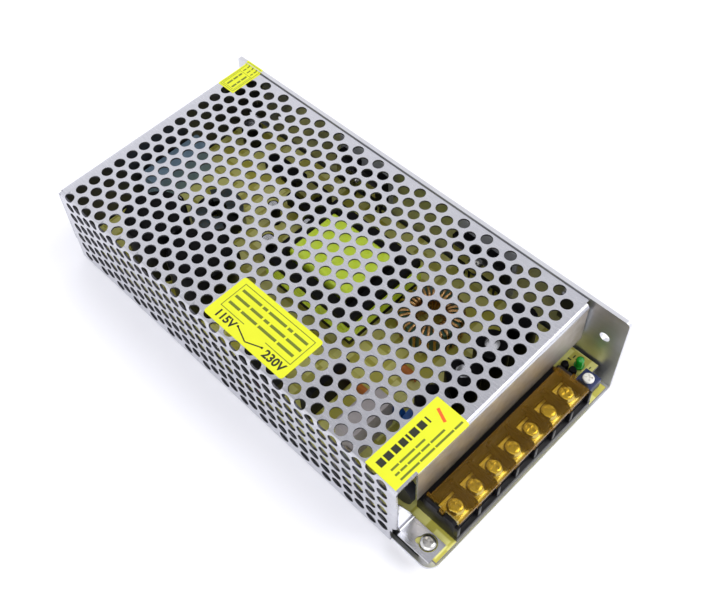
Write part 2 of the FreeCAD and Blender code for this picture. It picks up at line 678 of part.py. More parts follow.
def make_chassis():
    design = Design("chassis")
    length = (CHASSIS_FRONT, REAR)
    base = rectangle((LEFT + S.chassis_side_inset, RIGHT), length)
    design.pad("XY_Plane", 0, S.chassis_gauge, [base])
    design.pad("XY_Plane", 0, S.case_height, [rectangle((WALL_FACE, RIGHT), length)])
    design.dress("Fillet", S.base_corner_radius, lambda edge: lies_along(edge, ALONG_Z)
                 and near(edge.BoundBox.XMin, LEFT + S.chassis_side_inset))
    design.dress("Fillet", S.chassis_bend_radius, lambda edge: lies_along(edge, ALONG_Y)
                 and near(edge.BoundBox.XMin, RIGHT) and near(edge.BoundBox.ZMin, 0))
    design.dress("Fillet", S.chassis_inner_radius, lambda edge: lies_along(edge, ALONG_Y)
                 and near(edge.BoundBox.XMin, WALL_FACE) and near(edge.BoundBox.ZMin, S.chassis_gauge))
    design.dress("Fillet", S.wall_corner_radius, lambda edge: lies_along(edge, ALONG_X)
                 and near(edge.BoundBox.ZMin, S.case_height))
    base_holes = [(S.base_hole_span_x / 2 * across, S.base_hole_span_y / 2 * along, S.tapped_radius)
                  for across in (-1, 1) for along in (-1, 1)]
    design.pocket("XY_Plane", 0, S.chassis_gauge, circles=base_holes)
    wall_holes = [(CHASSIS_FRONT + S.eye_setback, S.eye_height, S.eye_radius)]
    wall_holes += [(S.wall_hole_span / 2 * along, S.wall_hole_height, S.tapped_radius) for along in (-1, 1)]
    wall_holes += [(along, S.clamp_height, S.screw_radius + S.screw_clearance) for along in CLAMP_PLACES]
    wall_holes += [(along, up, S.screw_radius + S.screw_clearance) for along, up in COVER_SCREWS]
    design.pocket("YZ_Plane", WALL_FACE, S.chassis_gauge, circles=wall_holes)
    design.dress("Chamfer", S.countersink, lambda edge: near(edge.BoundBox.XMin, RIGHT)
                 and near(edge.BoundBox.XMax, RIGHT) and len(edge.Vertexes) == 1
                 and any(near(edge.BoundBox.Center.y, along) and near(edge.BoundBox.Center.z, up)
                         for along, up in COVER_SCREWS))
    return design.body


node("chassis", make_chassis())


# Perforated cover: top, side, front lip, cheek, rear wall, lugs and tabs folded from one sheet

def number(length):
    return float(length)


GAUGE = number(S.cover_gauge)
BEND = number(S.cover_bend_radius)
SKIN_LEFT = number(LEFT)
SKIN_RIGHT = number(COVER_RIGHT)
SKIN_FRONT = number(COVER_FRONT)
SKIN_REAR = number(COVER_REAR)
SKIN_TOP = number(COVER_TOP)
TAB_TOP = number(BOARD_TOP + S.cover_gauge)


def hole_rows():
    """The place of each row along Y, with its number."""
    last = SKIN_REAR - number(S.last_row_inset)
    place = SKIN_FRONT + number(S.first_row_inset)
    row = 0
    while place <= last:
        yield row, place
        place += number(S.row_spacing)
        row += 1


def top_holes():
    """Hole centres of the top, which leave out the rounded edges."""
    reach = number(S.hole_side) / 2
    pitch = number(S.hole_pitch)
    for row, y in hole_rows():
        x = SKIN_RIGHT - number(S.edge_hole_inset) + (pitch / 2 if row % 2 else 0)
        while x - reach > SKIN_LEFT + BEND:
            yield x, y
            x -= pitch


def side_holes():
    """Hole centres of the side, in step with the rows of the top."""
    reach = number(S.hole_side) / 2
    pitch = number(S.hole_pitch)
    for row, y in hole_rows():
        z = number(S.side_row_height) + (0 if row % 2 else pitch / 2)
        while z + reach < SKIN_TOP - BEND:
            yield y, z
            z += pitch


def perforated(outline, centres, place, thickness):
    """A flat panel with square holes: outline and centres are laid out by the place function."""
    half = number(S.hole_side) / 2
    corners = [(-half, -half), (-half, half), (half, half), (half, -half)]
    rim = Part.makePolygon([place(*point) for point in outline + outline[:1]])
    wires = [rim]
    for across, up in centres:
        ring = [place(across + right, up + rise) for right, rise in corners + corners[:1]]
        wires.append(Part.makePolygon(ring))
    return Part.Face(wires).extrude(thickness)


def panel(outline, place, thickness, holes=()):
    """A flat panel with round holes, each given by its centre and radius."""
    wires = [Part.makePolygon([place(*point) for point in outline + outline[:1]])]
    solid = Part.Face(wires).extrude(thickness)
    for across, up, radius in holes:
        centre = place(across, up) - thickness
        solid = solid.cut(Part.makeCylinder(radius, 3 * thickness.Length, centre, thickness))
    return solid


def fold(centre, axis, length, first, second):
    """A quarter ring of sheet about a fold line, between two directions from it."""
    start = (first + second).normalize()
    inner = BEND - GAUGE
    ring = [
        Part.Arc(centre + first * BEND, centre + start * BEND, centre + second * BEND).toShape(),
        Part.LineSegment(centre + second * BEND, centre + second * inner).toShape(),
        Part.Arc(centre + second * inner, centre + start * inner, centre + first * inner).toShape(),
        Part.LineSegment(centre + first * inner, centre + first * BEND).toShape(),
    ]
    return Part.Face(Part.Wire(ring)).extrude(axis * length)


def make_cover():
    down = Vector(0, 0, -GAUGE)
    inward = Vector(GAUGE, 0, 0)
    crown = SKIN_TOP - BEND
    lip_left = SKIN_LEFT + number(S.lip_left)
    lip_right = SKIN_RIGHT - BEND
    flat_left = SKIN_LEFT + BEND
    flat_front = SKIN_FRONT + BEND
    flat_rear = SKIN_REAR - BEND
    tab_floor = number(BOARD_TOP)
    tab_fold = tab_floor + BEND
    side_end = SKIN_REAR - GAUGE - number(S.side_rear_gap)

    def on_top(x, y):
        return Vector(x, y, SKIN_TOP)

    def on_side(y, z):
        return Vector(SKIN_LEFT, y, z)

    def on_front(x, z):
        return Vector(x, SKIN_FRONT, z)

    def on_rear(x, z):
        return Vector(x, SKIN_REAR - GAUGE, z)

    def on_lug(y, z):
        return Vector(SKIN_RIGHT - GAUGE, y, z)

    def on_tab(x, y):
        return Vector(x, y, tab_floor)

    top = [(flat_left, SKIN_FRONT), (lip_left, SKIN_FRONT), (lip_left, flat_front),
           (SKIN_RIGHT, flat_front), (SKIN_RIGHT, flat_rear), (flat_left, flat_rear)]
    notch_rear = SKIN_FRONT + number(S.corner_notch_length)
    notch_top = number(S.corner_notch_height)
    foot = number(S.cover_foot)
    cheek_top = number(S.cheek_top)
    side = [(side_end, foot), (side_end, crown), (SKIN_FRONT, crown), (SKIN_FRONT, cheek_top),
            (flat_front, cheek_top), (flat_front, notch_top), (notch_rear, notch_top), (notch_rear, foot)]
    cheek_right = SKIN_LEFT + number(S.cheek_width)
    shoulder = number(S.cheek_shoulder)
    cheek = [(flat_left, tab_fold), (cheek_right, tab_fold), (cheek_right, shoulder), (flat_left, cheek_top)]
    lip = [(lip_left, number(S.lip_height)), (lip_right, number(S.lip_height)),
           (lip_right, crown), (lip_left, crown)]
    rear_tab_left = SKIN_LEFT + number(S.rear_tab_inset)
    rear_tab_right = rear_tab_left + number(S.rear_tab_width)
    rear = [(SKIN_LEFT, tab_fold), (rear_tab_right + GAUGE, tab_fold), (rear_tab_right + GAUGE, number(S.rear_foot)),
            (lip_right, number(S.rear_foot)), (lip_right, crown), (SKIN_LEFT, crown)]
    lug = number(S.lug_length)
    front_lug = rectangle((flat_front, flat_front + lug), (number(S.front_lug_foot), number(S.front_lug_top)))
    rear_lug = rectangle((flat_rear - lug, flat_rear), (number(S.rear_lug_foot), number(S.rear_lug_top)))
    thread = number(S.screw_radius + S.screw_clearance)
    lug_holes = [(number(along), number(up), thread) for along, up in COVER_SCREWS]
    tab_front = number(FRONT + S.front_tab_reach)
    tab_root = SKIN_FRONT - BEND + GAUGE
    front_tab = rectangle((SKIN_LEFT, cheek_right), (tab_front, tab_root))
    rear_tab = rectangle((rear_tab_left, rear_tab_right), (flat_rear - number(S.rear_tab_length), flat_rear))
    front_fix = (number(FRONT_FIX[0]), number(FRONT_FIX[1]), number(S.tab_hole_radius))
    rear_fix = (number(REAR_FIX[0]), number(REAR_FIX[1]), thread)
    front_fold_line = Vector(flat_left, tab_root, tab_fold)
    corner = Vector(flat_left, flat_front, tab_fold)
    sheets = [
        perforated(top, list(top_holes()), on_top, down),
        perforated(side, list(side_holes()), on_side, inward),
        panel(cheek, on_front, Vector(0, GAUGE, 0)),
        panel(lip, on_front, Vector(0, GAUGE, 0)),
        panel(rear, on_rear, Vector(0, GAUGE, 0)),
        panel(front_lug, on_lug, inward, lug_holes[:1]),
        panel(rear_lug, on_lug, inward, lug_holes[1:]),
        panel(front_tab, on_tab, -down, [front_fix]),
        panel(rear_tab, on_tab, -down, [rear_fix]),
        fold(Vector(flat_left, SKIN_FRONT, crown), ALONG_Y, flat_rear - SKIN_FRONT, -ALONG_X, ALONG_Z),
        fold(Vector(lip_left, flat_front, crown), ALONG_X, lip_right - lip_left, -ALONG_Y, ALONG_Z),
        fold(Vector(flat_left, flat_rear, crown), ALONG_X, lip_right - flat_left, ALONG_Y, ALONG_Z),
        fold(corner, ALONG_Z, cheek_top - tab_fold, -ALONG_X, -ALONG_Y),
        fold(Vector(lip_right, flat_front, number(S.front_lug_foot)), ALONG_Z,
             number(S.front_lug_top) - number(S.front_lug_foot), ALONG_X, -ALONG_Y),
        fold(Vector(lip_right, flat_rear, number(S.rear_lug_foot)), ALONG_Z,
             number(S.rear_lug_top) - number(S.rear_lug_foot), ALONG_X, ALONG_Y),
        fold(front_fold_line, ALONG_X, cheek_right - flat_left, ALONG_Y, -ALONG_Z),
        fold(Vector(rear_tab_left, flat_rear, tab_fold), ALONG_X, rear_tab_right - rear_tab_left,
             ALONG_Y, -ALONG_Z),
    ]
    joined = sheets[0].fuse(sheets[1:])
    if len(joined.Solids) != 1:
        raise RuntimeError(f"the cover falls into {len(joined.Solids)} solids")
    cover = doc.addObject("Part::Feature", "mesh_cover")
    cover.Shape = joined.Solids[0]
    cover.Placement = Placement()
    return cover


node("mesh_cover", make_cover())


# Printed circuit board, its standoffs and screws, and the film under it

def make_board():
    design = Design("pcb")
    x = (LEFT + S.board_left_gap, WALL_FACE - S.board_right_gap)
    y = (FRONT, REAR - S.board_rear_setback)
    notch = (x[1] - S.board_notch_x, y[0] + S.board_notch_y)
    outline = [(x[0], y[0]), (notch[0], y[0]), notch, (x[1], notch[1]), (x[1], y[1]), (x[0], y[1])]
    design.pad("XY_Plane", S.board_height, S.board_thickness, [outline])
    holes = [(across, along, S.screw_radius + S.screw_clearance) for across, along in FIXES]
    holes += [(across, CONTACT_LEG_Y, S.contact_hole_radius) for across in POLES]
    design.pocket("XY_Plane", S.board_height, S.board_thickness, circles=holes)
    return design.body


def make_standoff(index, across, along):
    height = S.board_height - S.chassis_gauge
    start = (across, along, S.chassis_gauge)
    tube = rod(f"standoff_{index}_tube", "Z", start, height, S.standoff_radius)
    bore = rod(f"standoff_{index}_bore", "Z", start, height, S.screw_radius + S.screw_clearance)
    return cut(f"standoff_{index}", tube, bore)


def make_screw(name, across, along, seat, head_radius, head_height, shank_radius, reach):
    """An upright screw with a flat round head and a cross slot."""
    top = seat + head_height
    shank = rod(f"{name}_shank", "Z", (across, along, seat - reach), reach, shank_radius)
    head = rod(f"{name}_head", "Z", (across, along, seat), head_height, head_radius)
    arm = head_radius * S.slot_share
    half = S.slot_width / 2
    slots = [
        box(f"{name}_slot_x", (across - arm, across + arm), (along - half, along + half),
            (top - S.slot_depth, top)),
        box(f"{name}_slot_y", (across - half, across + half), (along - arm, along + arm),
            (top - S.slot_depth, top)),
    ]
    return cut(name, fuse(f"{name}_blank", shank, head), fuse(f"{name}_cross", *slots))


def make_lug_screw(index, along, up):
    """A countersunk screw from outside the wall into a lug of the cover."""
    shank_end = RIGHT - S.cover_screw_length
    shank = rod(f"lug_screw_{index}_shank", "X", (shank_end, along, up), S.cover_screw_length, S.screw_radius)
    head = doc.addObject("Part::Cone", f"lug_screw_{index}_head")
    head.Placement = Placement(Vector(), AXIS_TURNS["X"])
    bind(head, "Radius1", S.screw_radius)
    bind(head, "Radius2", S.screw_radius + S.countersink - S.screw_clearance)
    bind(head, "Height", S.countersink - S.screw_clearance)
    bind_place(head, RIGHT - S.countersink + S.screw_clearance, along, up)
    arm = S.screw_radius
    half = S.slot_width / 2
    depth = (RIGHT - S.slot_depth, RIGHT)
    slots = fuse(
        f"lug_screw_{index}_cross",
        box(f"lug_screw_{index}_slot_y", depth, (along - arm, along + arm), (up - half, up + half)),
        box(f"lug_screw_{index}_slot_z", depth, (along - half, along + half), (up - arm, up + arm)),
    )
    return cut(f"lug_screw_{index}", fuse(f"lug_screw_{index}_blank", shank, head), slots)


def make_film():
    design = Design("insulation_sheet")
    x = (LEFT + S.cover_gauge + S.film_side_gap, WALL_FACE - S.film_wall_gap)
    y = (CHASSIS_FRONT + S.film_setback, SKIN_REAR_INNER - S.film_setback)
    design.pad("XY_Plane", S.chassis_gauge, S.film_thickness, [rectangle(x, y)])
    rim = rectangle((x[0], x[0] + S.film_thickness), (y[0] + S.base_corner_radius, y[1]))
    design.pad("XY_Plane", S.chassis_gauge, S.film_rim_height - S.chassis_gauge, [rim])
    clearance = S.standoff_radius + S.film_hole_clearance
    holes = [(across, along, clearance) for across, along in FIXES]
    holes += [(S.base_hole_span_x / 2 * across, S.base_hole_span_y / 2 * along, S.tapped_radius + 1)
              for across in (-1, 1) for along in (-1, 1)]
    design.pocket("XY_Plane", S.chassis_gauge, S.film_thickness, circles=holes)
    return design.body


SKIN_REAR_INNER = COVER_REAR - S.cover_gauge
BLOCK_REAR = FRONT + S.block_depth
SEAT = BOARD_TOP + S.block_seat_height
CONTACT_LEG_Y = FRONT + S.contact_front + S.contact_length - S.contact_thickness / 2

node("pcb", make_board())
node("pcb_standoffs", group("standoffs", [make_standoff(index, *place) for index, place in enumerate(FIXES)]))
BOARD_SCREWS = [(FRONT_FIX, BOARD_TOP), (MIDDLE_FIX, BOARD_TOP), (FRONT_RIGHT_FIX, BOARD_TOP),
                (REAR_RIGHT_FIX, BOARD_TOP), (REAR_FIX, BOARD_TOP + S.cover_gauge)]
node("pcb_screws", group("board_screws", [
    make_screw(f"board_screw_{index}", place[0], place[1], seat, S.screw_head_radius, S.screw_head_height,
               S.screw_radius, S.screw_length)
    for index, (place, seat) in enumerate(BOARD_SCREWS)
]))
node("cover_screws", group("lug_screws", [
    make_lug_screw(index, *place) for index, place in enumerate(COVER_SCREWS)
]))
node("insulation_sheet", make_film())


# Terminal block: housing, contacts, washers, screws and the hinged lid

BARRIER_TOP = BOARD_TOP + S.barrier_height
PIVOT_Y = FRONT + S.lid_pivot_y
PIVOT_Z = BARRIER_TOP - S.lid_pivot_drop
NOTCH_Y = (FRONT + S.snap_notch_y, FRONT + S.snap_notch_y + S.snap_notch_width)


def make_block():
    design = Design("terminal_block")
    seat_rear = FRONT + S.block_seat_end
    ledge_rear = FRONT + S.block_ledge_depth
    steps = [
        (FRONT, BOARD_TOP), (BLOCK_REAR, BOARD_TOP), (BLOCK_REAR, BOARD_TOP + S.block_height),
        (seat_rear, BOARD_TOP + S.block_height), (seat_rear, SEAT), (ledge_rear, SEAT),
        (ledge_rear, BOARD_TOP + S.block_ledge_height), (FRONT, BOARD_TOP + S.block_ledge_height),
    ]
    design.pad("YZ_Plane", S.block_x - BLOCK_HALF, 2 * BLOCK_HALF, [steps])
    barrier_rear = FRONT + S.barrier_end
    low = BOARD_TOP + S.block_ledge_height
    barrier = [
        (ledge_rear, low), (barrier_rear, low), (barrier_rear, BARRIER_TOP - S.barrier_chamfer),
        (barrier_rear - S.barrier_chamfer, BARRIER_TOP), (ledge_rear + S.barrier_chamfer, BARRIER_TOP),
        (ledge_rear, BARRIER_TOP - S.barrier_chamfer),
    ]
    for left, right in zip(POLES, POLES[1:]):
        middle = (left + right) / 2
        design.pad("YZ_Plane", middle - S.barrier_thickness / 2, S.barrier_thickness, [barrier])
    end_rear = FRONT + S.end_wall_rear
    notch_floor = BARRIER_TOP - S.snap_notch_depth
    end_wall = [
        (ledge_rear, low), (end_rear, low), (end_rear, BARRIER_TOP - S.barrier_chamfer),
        (end_rear - S.barrier_chamfer, BARRIER_TOP), (NOTCH_Y[1], BARRIER_TOP), (NOTCH_Y[1], notch_floor),
        (NOTCH_Y[0], notch_floor), (NOTCH_Y[0], BARRIER_TOP), (ledge_rear + S.barrier_chamfer, BARRIER_TOP),
        (ledge_rear, BARRIER_TOP - S.barrier_chamfer),
    ]
    pin_hole = (PIVOT_Y, PIVOT_Z, S.lid_pin_radius + S.lid_pin_clearance)
    pin_depth = S.lid_pin_reach + S.lid_side_gap
    design.pad("YZ_Plane", S.block_x - BLOCK_HALF, S.end_wall_thickness, [end_wall])
    design.pad("YZ_Plane", S.block_x + BLOCK_INNER, S.end_wall_thickness, [end_wall])
    design.pocket("YZ_Plane", S.block_x + BLOCK_INNER, pin_depth, circles=[pin_hole])
    design.pocket("YZ_Plane", S.block_x - BLOCK_INNER - pin_depth, pin_depth, circles=[pin_hole])
    bores = [(across, FRONT + S.terminal_screw_y, S.terminal_bore_radius) for across in POLES]
    design.pocket("XY_Plane", SEAT - S.terminal_bore_depth, S.terminal_bore_depth, circles=bores)
    leg = S.contact_leg_width / 2 + S.screw_clearance
    slot_y = (CONTACT_LEG_Y - S.contact_thickness / 2 - S.screw_clearance,
              CONTACT_LEG_Y + S.contact_thickness / 2 + S.screw_clearance)
    slots = [rectangle((across - leg, across + leg), slot_y) for across in POLES]
    design.pocket("XY_Plane", BOARD_TOP, S.block_seat_height, outlines=slots)
    return design.body


def make_contact(index, across):
    y = (FRONT + S.contact_front, FRONT + S.contact_front + S.contact_length)
    half = S.contact_width / 2
    leg = S.contact_leg_width / 2
    plate = box(f"contact_{index}_plate", (across - half, across + half), y, (SEAT, SEAT + S.contact_thickness))
    prong = box(f"contact_{index}_leg", (across - leg, across + leg), (y[1] - S.contact_thickness, y[1]),
                (S.board_height - S.contact_leg_reach, SEAT))
    hole = rod(f"contact_{index}_hole", "Z", (across, FRONT + S.terminal_screw_y, SEAT), S.contact_thickness,
               S.terminal_shank_radius + S.screw_clearance)
    return cut(f"contact_{index}", fuse(f"contact_{index}_blank", plate, prong), hole)


def make_washer(index, across):
    half = S.washer_size / 2
    screw_y = FRONT + S.terminal_screw_y
    seat = SEAT + S.contact_thickness
    plate = box(f"washer_{index}_plate", (across - half, across + half), (screw_y - half, screw_y + half),
                (seat, seat + S.washer_thickness))
    hole = rod(f"washer_{index}_hole", "Z", (across, screw_y, seat), S.washer_thickness,
               S.terminal_shank_radius + S.screw_clearance)
    return cut(f"washer_{index}", plate, hole)


def make_lid():
    """The amber lid: a plate with a raised line, a toothed front skirt, ears, pins and snap nibs."""
    half = BLOCK_INNER - S.lid_side_gap
    x = (S.block_x - half, S.block_x + half)
    y = (FRONT + S.lid_front, FRONT + S.lid_front + S.lid_length)
    underside = BARRIER_TOP + S.lid_lift
    top = underside + S.lid_thickness
    pieces = [box("lid_plate", x, y, (underside, top))]
    rim = (S.lid_rim_inset, S.lid_rim_inset + S.lid_rim_width)
    rim_outer = box("lid_rim_outer", (x[0] + rim[0], x[1] - rim[0]), (y[0] + rim[0], y[1] - rim[0]),
                    (top, top + S.lid_rim_height))
    rim_inner = box("lid_rim_inner", (x[0] + rim[1], x[1] - rim[1]), (y[0] + rim[1], y[1] - rim[1]),
                    (top, top + S.lid_rim_height))
    pieces.append(cut("lid_rim", rim_outer, rim_inner))
    skirt_y = (y[0], y[0] + S.lid_skirt_thickness)
    skirt_low = underside - S.lid_skirt_depth
    pieces.append(box("lid_skirt", x, skirt_y, (skirt_low, underside)))
    for index, (left, right) in enumerate(zip(POLES, POLES[1:])):
        middle = (left + right) / 2
        tooth = S.lid_tooth_width / 2
        pieces.append(box(f"lid_tooth_{index}", (middle - tooth, middle + tooth), skirt_y,
                          (skirt_low - S.lid_tooth_depth, skirt_low)))
    nib_y = (sum(NOTCH_Y, Length.of(0)) - S.lid_nib_width) / 2
    for side, edge in (("left", x[0]), ("right", x[1])):
        sign = -1 if side == "left" else 1
        root = edge if side == "right" else edge - S.lid_nib_reach
        pieces.append(box(f"lid_nib_{side}", (root, root + S.lid_nib_reach), (nib_y, nib_y + S.lid_nib_width),
                          (underside - S.lid_pivot_drop, top)))
        ear_x = edge - S.lid_ear_thickness if side == "right" else edge
        ear = rod(f"lid_ear_{side}", "X", (ear_x, PIVOT_Y, PIVOT_Z), S.lid_ear_thickness, S.lid_ear_radius)
        web = box(f"lid_web_{side}", (ear_x, ear_x + S.lid_ear_thickness),
                  (PIVOT_Y - S.lid_ear_radius, PIVOT_Y + S.lid_ear_radius), (PIVOT_Z, underside))
        pin_x = edge if sign > 0 else edge - S.lid_pin_reach
        pin = rod(f"lid_pin_{side}", "X", (pin_x, PIVOT_Y, PIVOT_Z), S.lid_pin_reach, S.lid_pin_radius)
        pieces += [ear, web, pin]
    return fuse("lid", *pieces)


node("terminal_block", make_block())
node("terminal_contacts", group("contacts", [make_contact(index, across) for index, across in enumerate(POLES)]))
node("terminal_washers", group("washers", [make_washer(index, across) for index, across in enumerate(POLES)]))
node("terminal_screws", group("terminal_screw_set", [
    make_screw(f"terminal_screw_{index}", across, FRONT + S.terminal_screw_y,
               SEAT + S.contact_thickness + S.washer_thickness, S.terminal_head_radius, S.terminal_head_height,
               S.terminal_shank_radius, S.terminal_shank_reach + S.contact_thickness + S.washer_thickness)
    for index, across in enumerate(POLES)
]))
node("terminal_cover", make_lid())


# Front right corner: status lamp, output trimmer and two small capacitors

def make_lamp_lens():
    design = Design("led_lens")
    dome = S.lamp_radius * 0.5
    profile = [
        (0, 0), (S.lamp_flange_radius, 0), (S.lamp_flange_radius, S.lamp_flange_height),
        (S.lamp_radius, S.lamp_flange_height), (S.lamp_radius, S.lamp_height - dome),
        (S.lamp_radius - dome * 0.3, S.lamp_height - dome * 0.4), (dome, S.lamp_height), (0, S.lamp_height),
    ]
    design.revolve(profile)
    bind_place(design.body, S.lamp_x, FRONT + S.lamp_y, BOARD_TOP + S.lamp_lift)
    return design.body


def make_lamp_leads():
    half = S.lamp_lead_width / 2
    middle = FRONT + S.lamp_y
    return [box(f"lamp_lead_{side}", (S.lamp_x - half, S.lamp_x + half),
                (middle + shift - half, middle + shift + half), (BOARD_TOP, BOARD_TOP + S.lamp_lift))
            for side, shift in (("front", -S.lamp_lead_spacing / 2), ("rear", S.lamp_lead_spacing / 2))]


def make_trimmer():
    half = S.trimmer_size / 2
    middle = FRONT + S.trimmer_y
    top = BOARD_TOP + S.trimmer_height
    housing = box("trimmer_housing", (S.trimmer_x - half, S.trimmer_x + half), (middle - half, middle + half),
                  (BOARD_TOP, top))
    bore = rod("trimmer_bore", "Z", (S.trimmer_x, middle, top - S.rotor_shaft_length - S.rotor_lift),
               S.rotor_shaft_length + S.rotor_lift, S.rotor_shaft_radius + S.rotor_clearance)
    return cut("trimmer", housing, bore)


def make_rotor():
    top = BOARD_TOP + S.trimmer_height + S.rotor_lift
    return make_screw("rotor", S.trimmer_x, FRONT + S.trimmer_y, top, S.rotor_radius, S.rotor_height,
                      S.rotor_shaft_radius, S.rotor_shaft_length)


node("led_lens", make_lamp_lens())
node("led_leads", group("lamp_leads", make_lamp_leads()))
node("trimmer_body", make_trimmer())
node("trimmer_rotor", make_rotor())


# Input voltage selector behind the perforated side

def make_selector():
    left = LEFT + S.selector_left_gap
    y = (S.selector_front, S.selector_front + S.selector_length)
    housing = box("selector_housing", (left, left + S.selector_depth), y,
                  (BOARD_TOP, BOARD_TOP + S.selector_height))
    gap = S.slider_clearance
    slot_y = (SLIDER_Y - gap, SLIDER_Y + S.slider_length + S.slider_travel + gap)
    slot = box("selector_slot", (left, left + S.slider_root + gap), slot_y,
               (SLIDER_Z - gap, SLIDER_Z + S.slider_height + gap))
    return cut("selector", housing, slot)


SLIDER_Y = S.selector_front + (S.selector_length - S.slider_length - S.slider_travel) / 2
SLIDER_Z = BOARD_TOP + S.slider_lift
node("selector_switch_body", make_selector())
node("selector_slider", box(
    "slider", (LEFT + S.selector_left_gap - S.slider_reach, LEFT + S.selector_left_gap + S.slider_root),
    (SLIDER_Y, SLIDER_Y + S.slider_length), (SLIDER_Z, SLIDER_Z + S.slider_height)))


# Parts on the board that show through the cover

def make_can(name, across, along, radius, height):
    """An upright electrolytic capacitor with a rounded shoulder."""
    design = Design(name)
    shoulder = S.can_chamfer
    design.revolve([(0, 0), (radius, 0), (radius, height - shoulder), (radius - shoulder, height), (0, height)])
    bind_place(design.body, across, along, BOARD_TOP)
    return design.body


def make_box_capacitor(name, x, y, height):
    design = Design(name)
    design.pad("XY_Plane", BOARD_TOP, height, [rectangle(x, y)])
    design.dress("Fillet", S.box_cap_radius, lambda edge: lies_along(edge, ALONG_Z))
    return design.body


def spread(middle, size):
    """The two places that lie half a size on each side of a middle."""
    return (middle - size / 2, middle + size / 2)


def make_transformer_core():
    design = Design("transformer_core")
    x = spread(S.core_x, S.core_width)
    y = spread(S.core_y, S.core_length)
    design.pad("XY_Plane", BOARD_TOP + S.core_lift, S.core_height, [rectangle(x, y)])
    window_y = (y[0] + S.core_leg, y[1] - S.core_leg)
    leg = spread(S.core_x, S.core_centre_leg)
    windows = [rectangle((x[0] + S.core_leg, leg[0]), window_y), rectangle((leg[1], x[1] - S.core_leg), window_y)]
    design.pocket("XY_Plane", BOARD_TOP + S.core_lift, S.core_height, outlines=windows)
    return design.body


def make_bobbin():
    """A tube on the centre leg with a flange at each end that stands on the board."""
    gap = S.bobbin_clearance
    wall = S.bobbin_wall
    core_z = (BOARD_TOP + S.core_lift, BOARD_TOP + S.core_lift + S.core_height)
    window = S.core_length / 2 - S.core_leg - gap
    y = (S.core_y - window, S.core_y + window)
    leg = S.core_centre_leg / 2 + gap
    tube_x = (S.core_x - leg - wall, S.core_x + leg + wall)
    tube_z = (core_z[0] - gap - wall, core_z[1] + gap + wall)
    flange_half = S.core_width / 2 - S.core_leg - gap
    flange_x = (S.core_x - flange_half, S.core_x + flange_half)
    flange_z = (BOARD_TOP, tube_z[1] + S.coil_rise + S.bobbin_clearance)
    solid = fuse(
        "bobbin_blank",
        box("bobbin_tube", tube_x, y, tube_z),
        box("bobbin_front", flange_x, (y[0], y[0] + wall), flange_z),
        box("bobbin_rear", flange_x, (y[1] - wall, y[1]), flange_z),
    )
    return cut("bobbin", solid, box("bobbin_bore", (S.core_x - leg, S.core_x + leg), y,
                                    (core_z[0] - gap, core_z[1] + gap)))


def make_coil():
    design = Design("transformer_coil")
    gap = S.bobbin_clearance
    wall = S.bobbin_wall + S.tape_clearance
    leg = S.core_centre_leg / 2 + gap + wall
    core_z = (BOARD_TOP + S.core_lift, BOARD_TOP + S.core_lift + S.core_height)
    inner_z = (core_z[0] - gap - wall, core_z[1] + gap + wall)
    outer = rectangle((S.core_x - leg - S.coil_build, S.core_x + leg + S.coil_build),
                      (inner_z[0] - S.coil_rise, inner_z[1] + S.coil_rise))
    inner = rectangle((S.core_x - leg, S.core_x + leg), inner_z)
    half = S.core_length / 2 - S.core_leg - gap - wall
    design.pad("XZ_Plane", S.core_y - half, 2 * half, [outer])
    design.dress("Fillet", S.coil_corner, lambda edge: lies_along(edge, ALONG_Y))
    design.pocket("XZ_Plane", S.core_y - half, 2 * half, [inner])
    return design.body


def make_core_tape():
    gap = S.tape_clearance
    middle = BOARD_TOP + S.core_lift + S.core_height / 2
    z = spread(middle, S.tape_width)
    inner_x = spread(S.core_x, S.core_width + 2 * gap)
    inner_y = spread(S.core_y, S.core_length + 2 * gap)
    outer_x = spread(S.core_x, S.core_width + 2 * (gap + S.tape_thickness))
    outer_y = spread(S.core_y, S.core_length + 2 * (gap + S.tape_thickness))
    return cut("core_strip", box("core_strip_outer", outer_x, outer_y, z),
               box("core_strip_inner", inner_x, inner_y, z))


def ring(name, across, along, low, height, outer, inner, angle=None):
    """A round or part-round ring with a square section."""
    start = (across, along, low)
    return cut(name, rod(f"{name}_outer", "Z", start, height, outer, angle),
               rod(f"{name}_inner", "Z", start, height, inner))


def make_turn(index):
    """One turn of wire round the ring of the output choke."""
    gap = S.toroid_clearance
    wire = S.toroid_wire
    low = BOARD_TOP + wire
    outer_x = (S.toroid_inner - gap - wire, S.toroid_outer + gap + wire)
    inner_x = (S.toroid_inner - gap, S.toroid_outer + gap)
    half = (-wire / 2, wire / 2)
    turn = cut(f"turn_{index}",
               box(f"turn_{index}_outer", outer_x, half, (low - wire, low + S.toroid_height + 2 * gap + wire)),
               box(f"turn_{index}_inner", inner_x, half, (low, low + S.toroid_height + 2 * gap)))
    turn.Placement = Placement(Vector(), Rotation(ALONG_Z, 360 / S.toroid_turns.value * (index + 0.5)))
    bind_place(turn, S.toroid_x, S.toroid_y, 0)
    return turn


def make_choke_winding(side, first_angle):
    gap = S.choke_clearance
    build = S.choke_build
    core_low = BOARD_TOP + build
    outer = ring(f"choke_{side}_shell", S.choke_x, S.choke_y, BOARD_TOP, S.choke_height + 2 * (build + gap),
                 S.choke_outer + gap + build, S.choke_inner - gap - build, S.choke_sector)
    hollow = ring(f"choke_{side}_hollow", S.choke_x, S.choke_y, core_low, S.choke_height + 2 * gap,
                  S.choke_outer + gap, S.choke_inner - gap)
    winding = cut(f"choke_{side}", outer, hollow)
    turned = Rotation(ALONG_Z, first_angle)
    centre = Vector(S.choke_x.value, S.choke_y.value, 0)
    winding.Placement = Placement(centre - turned.multVec(centre), turned)
    return winding


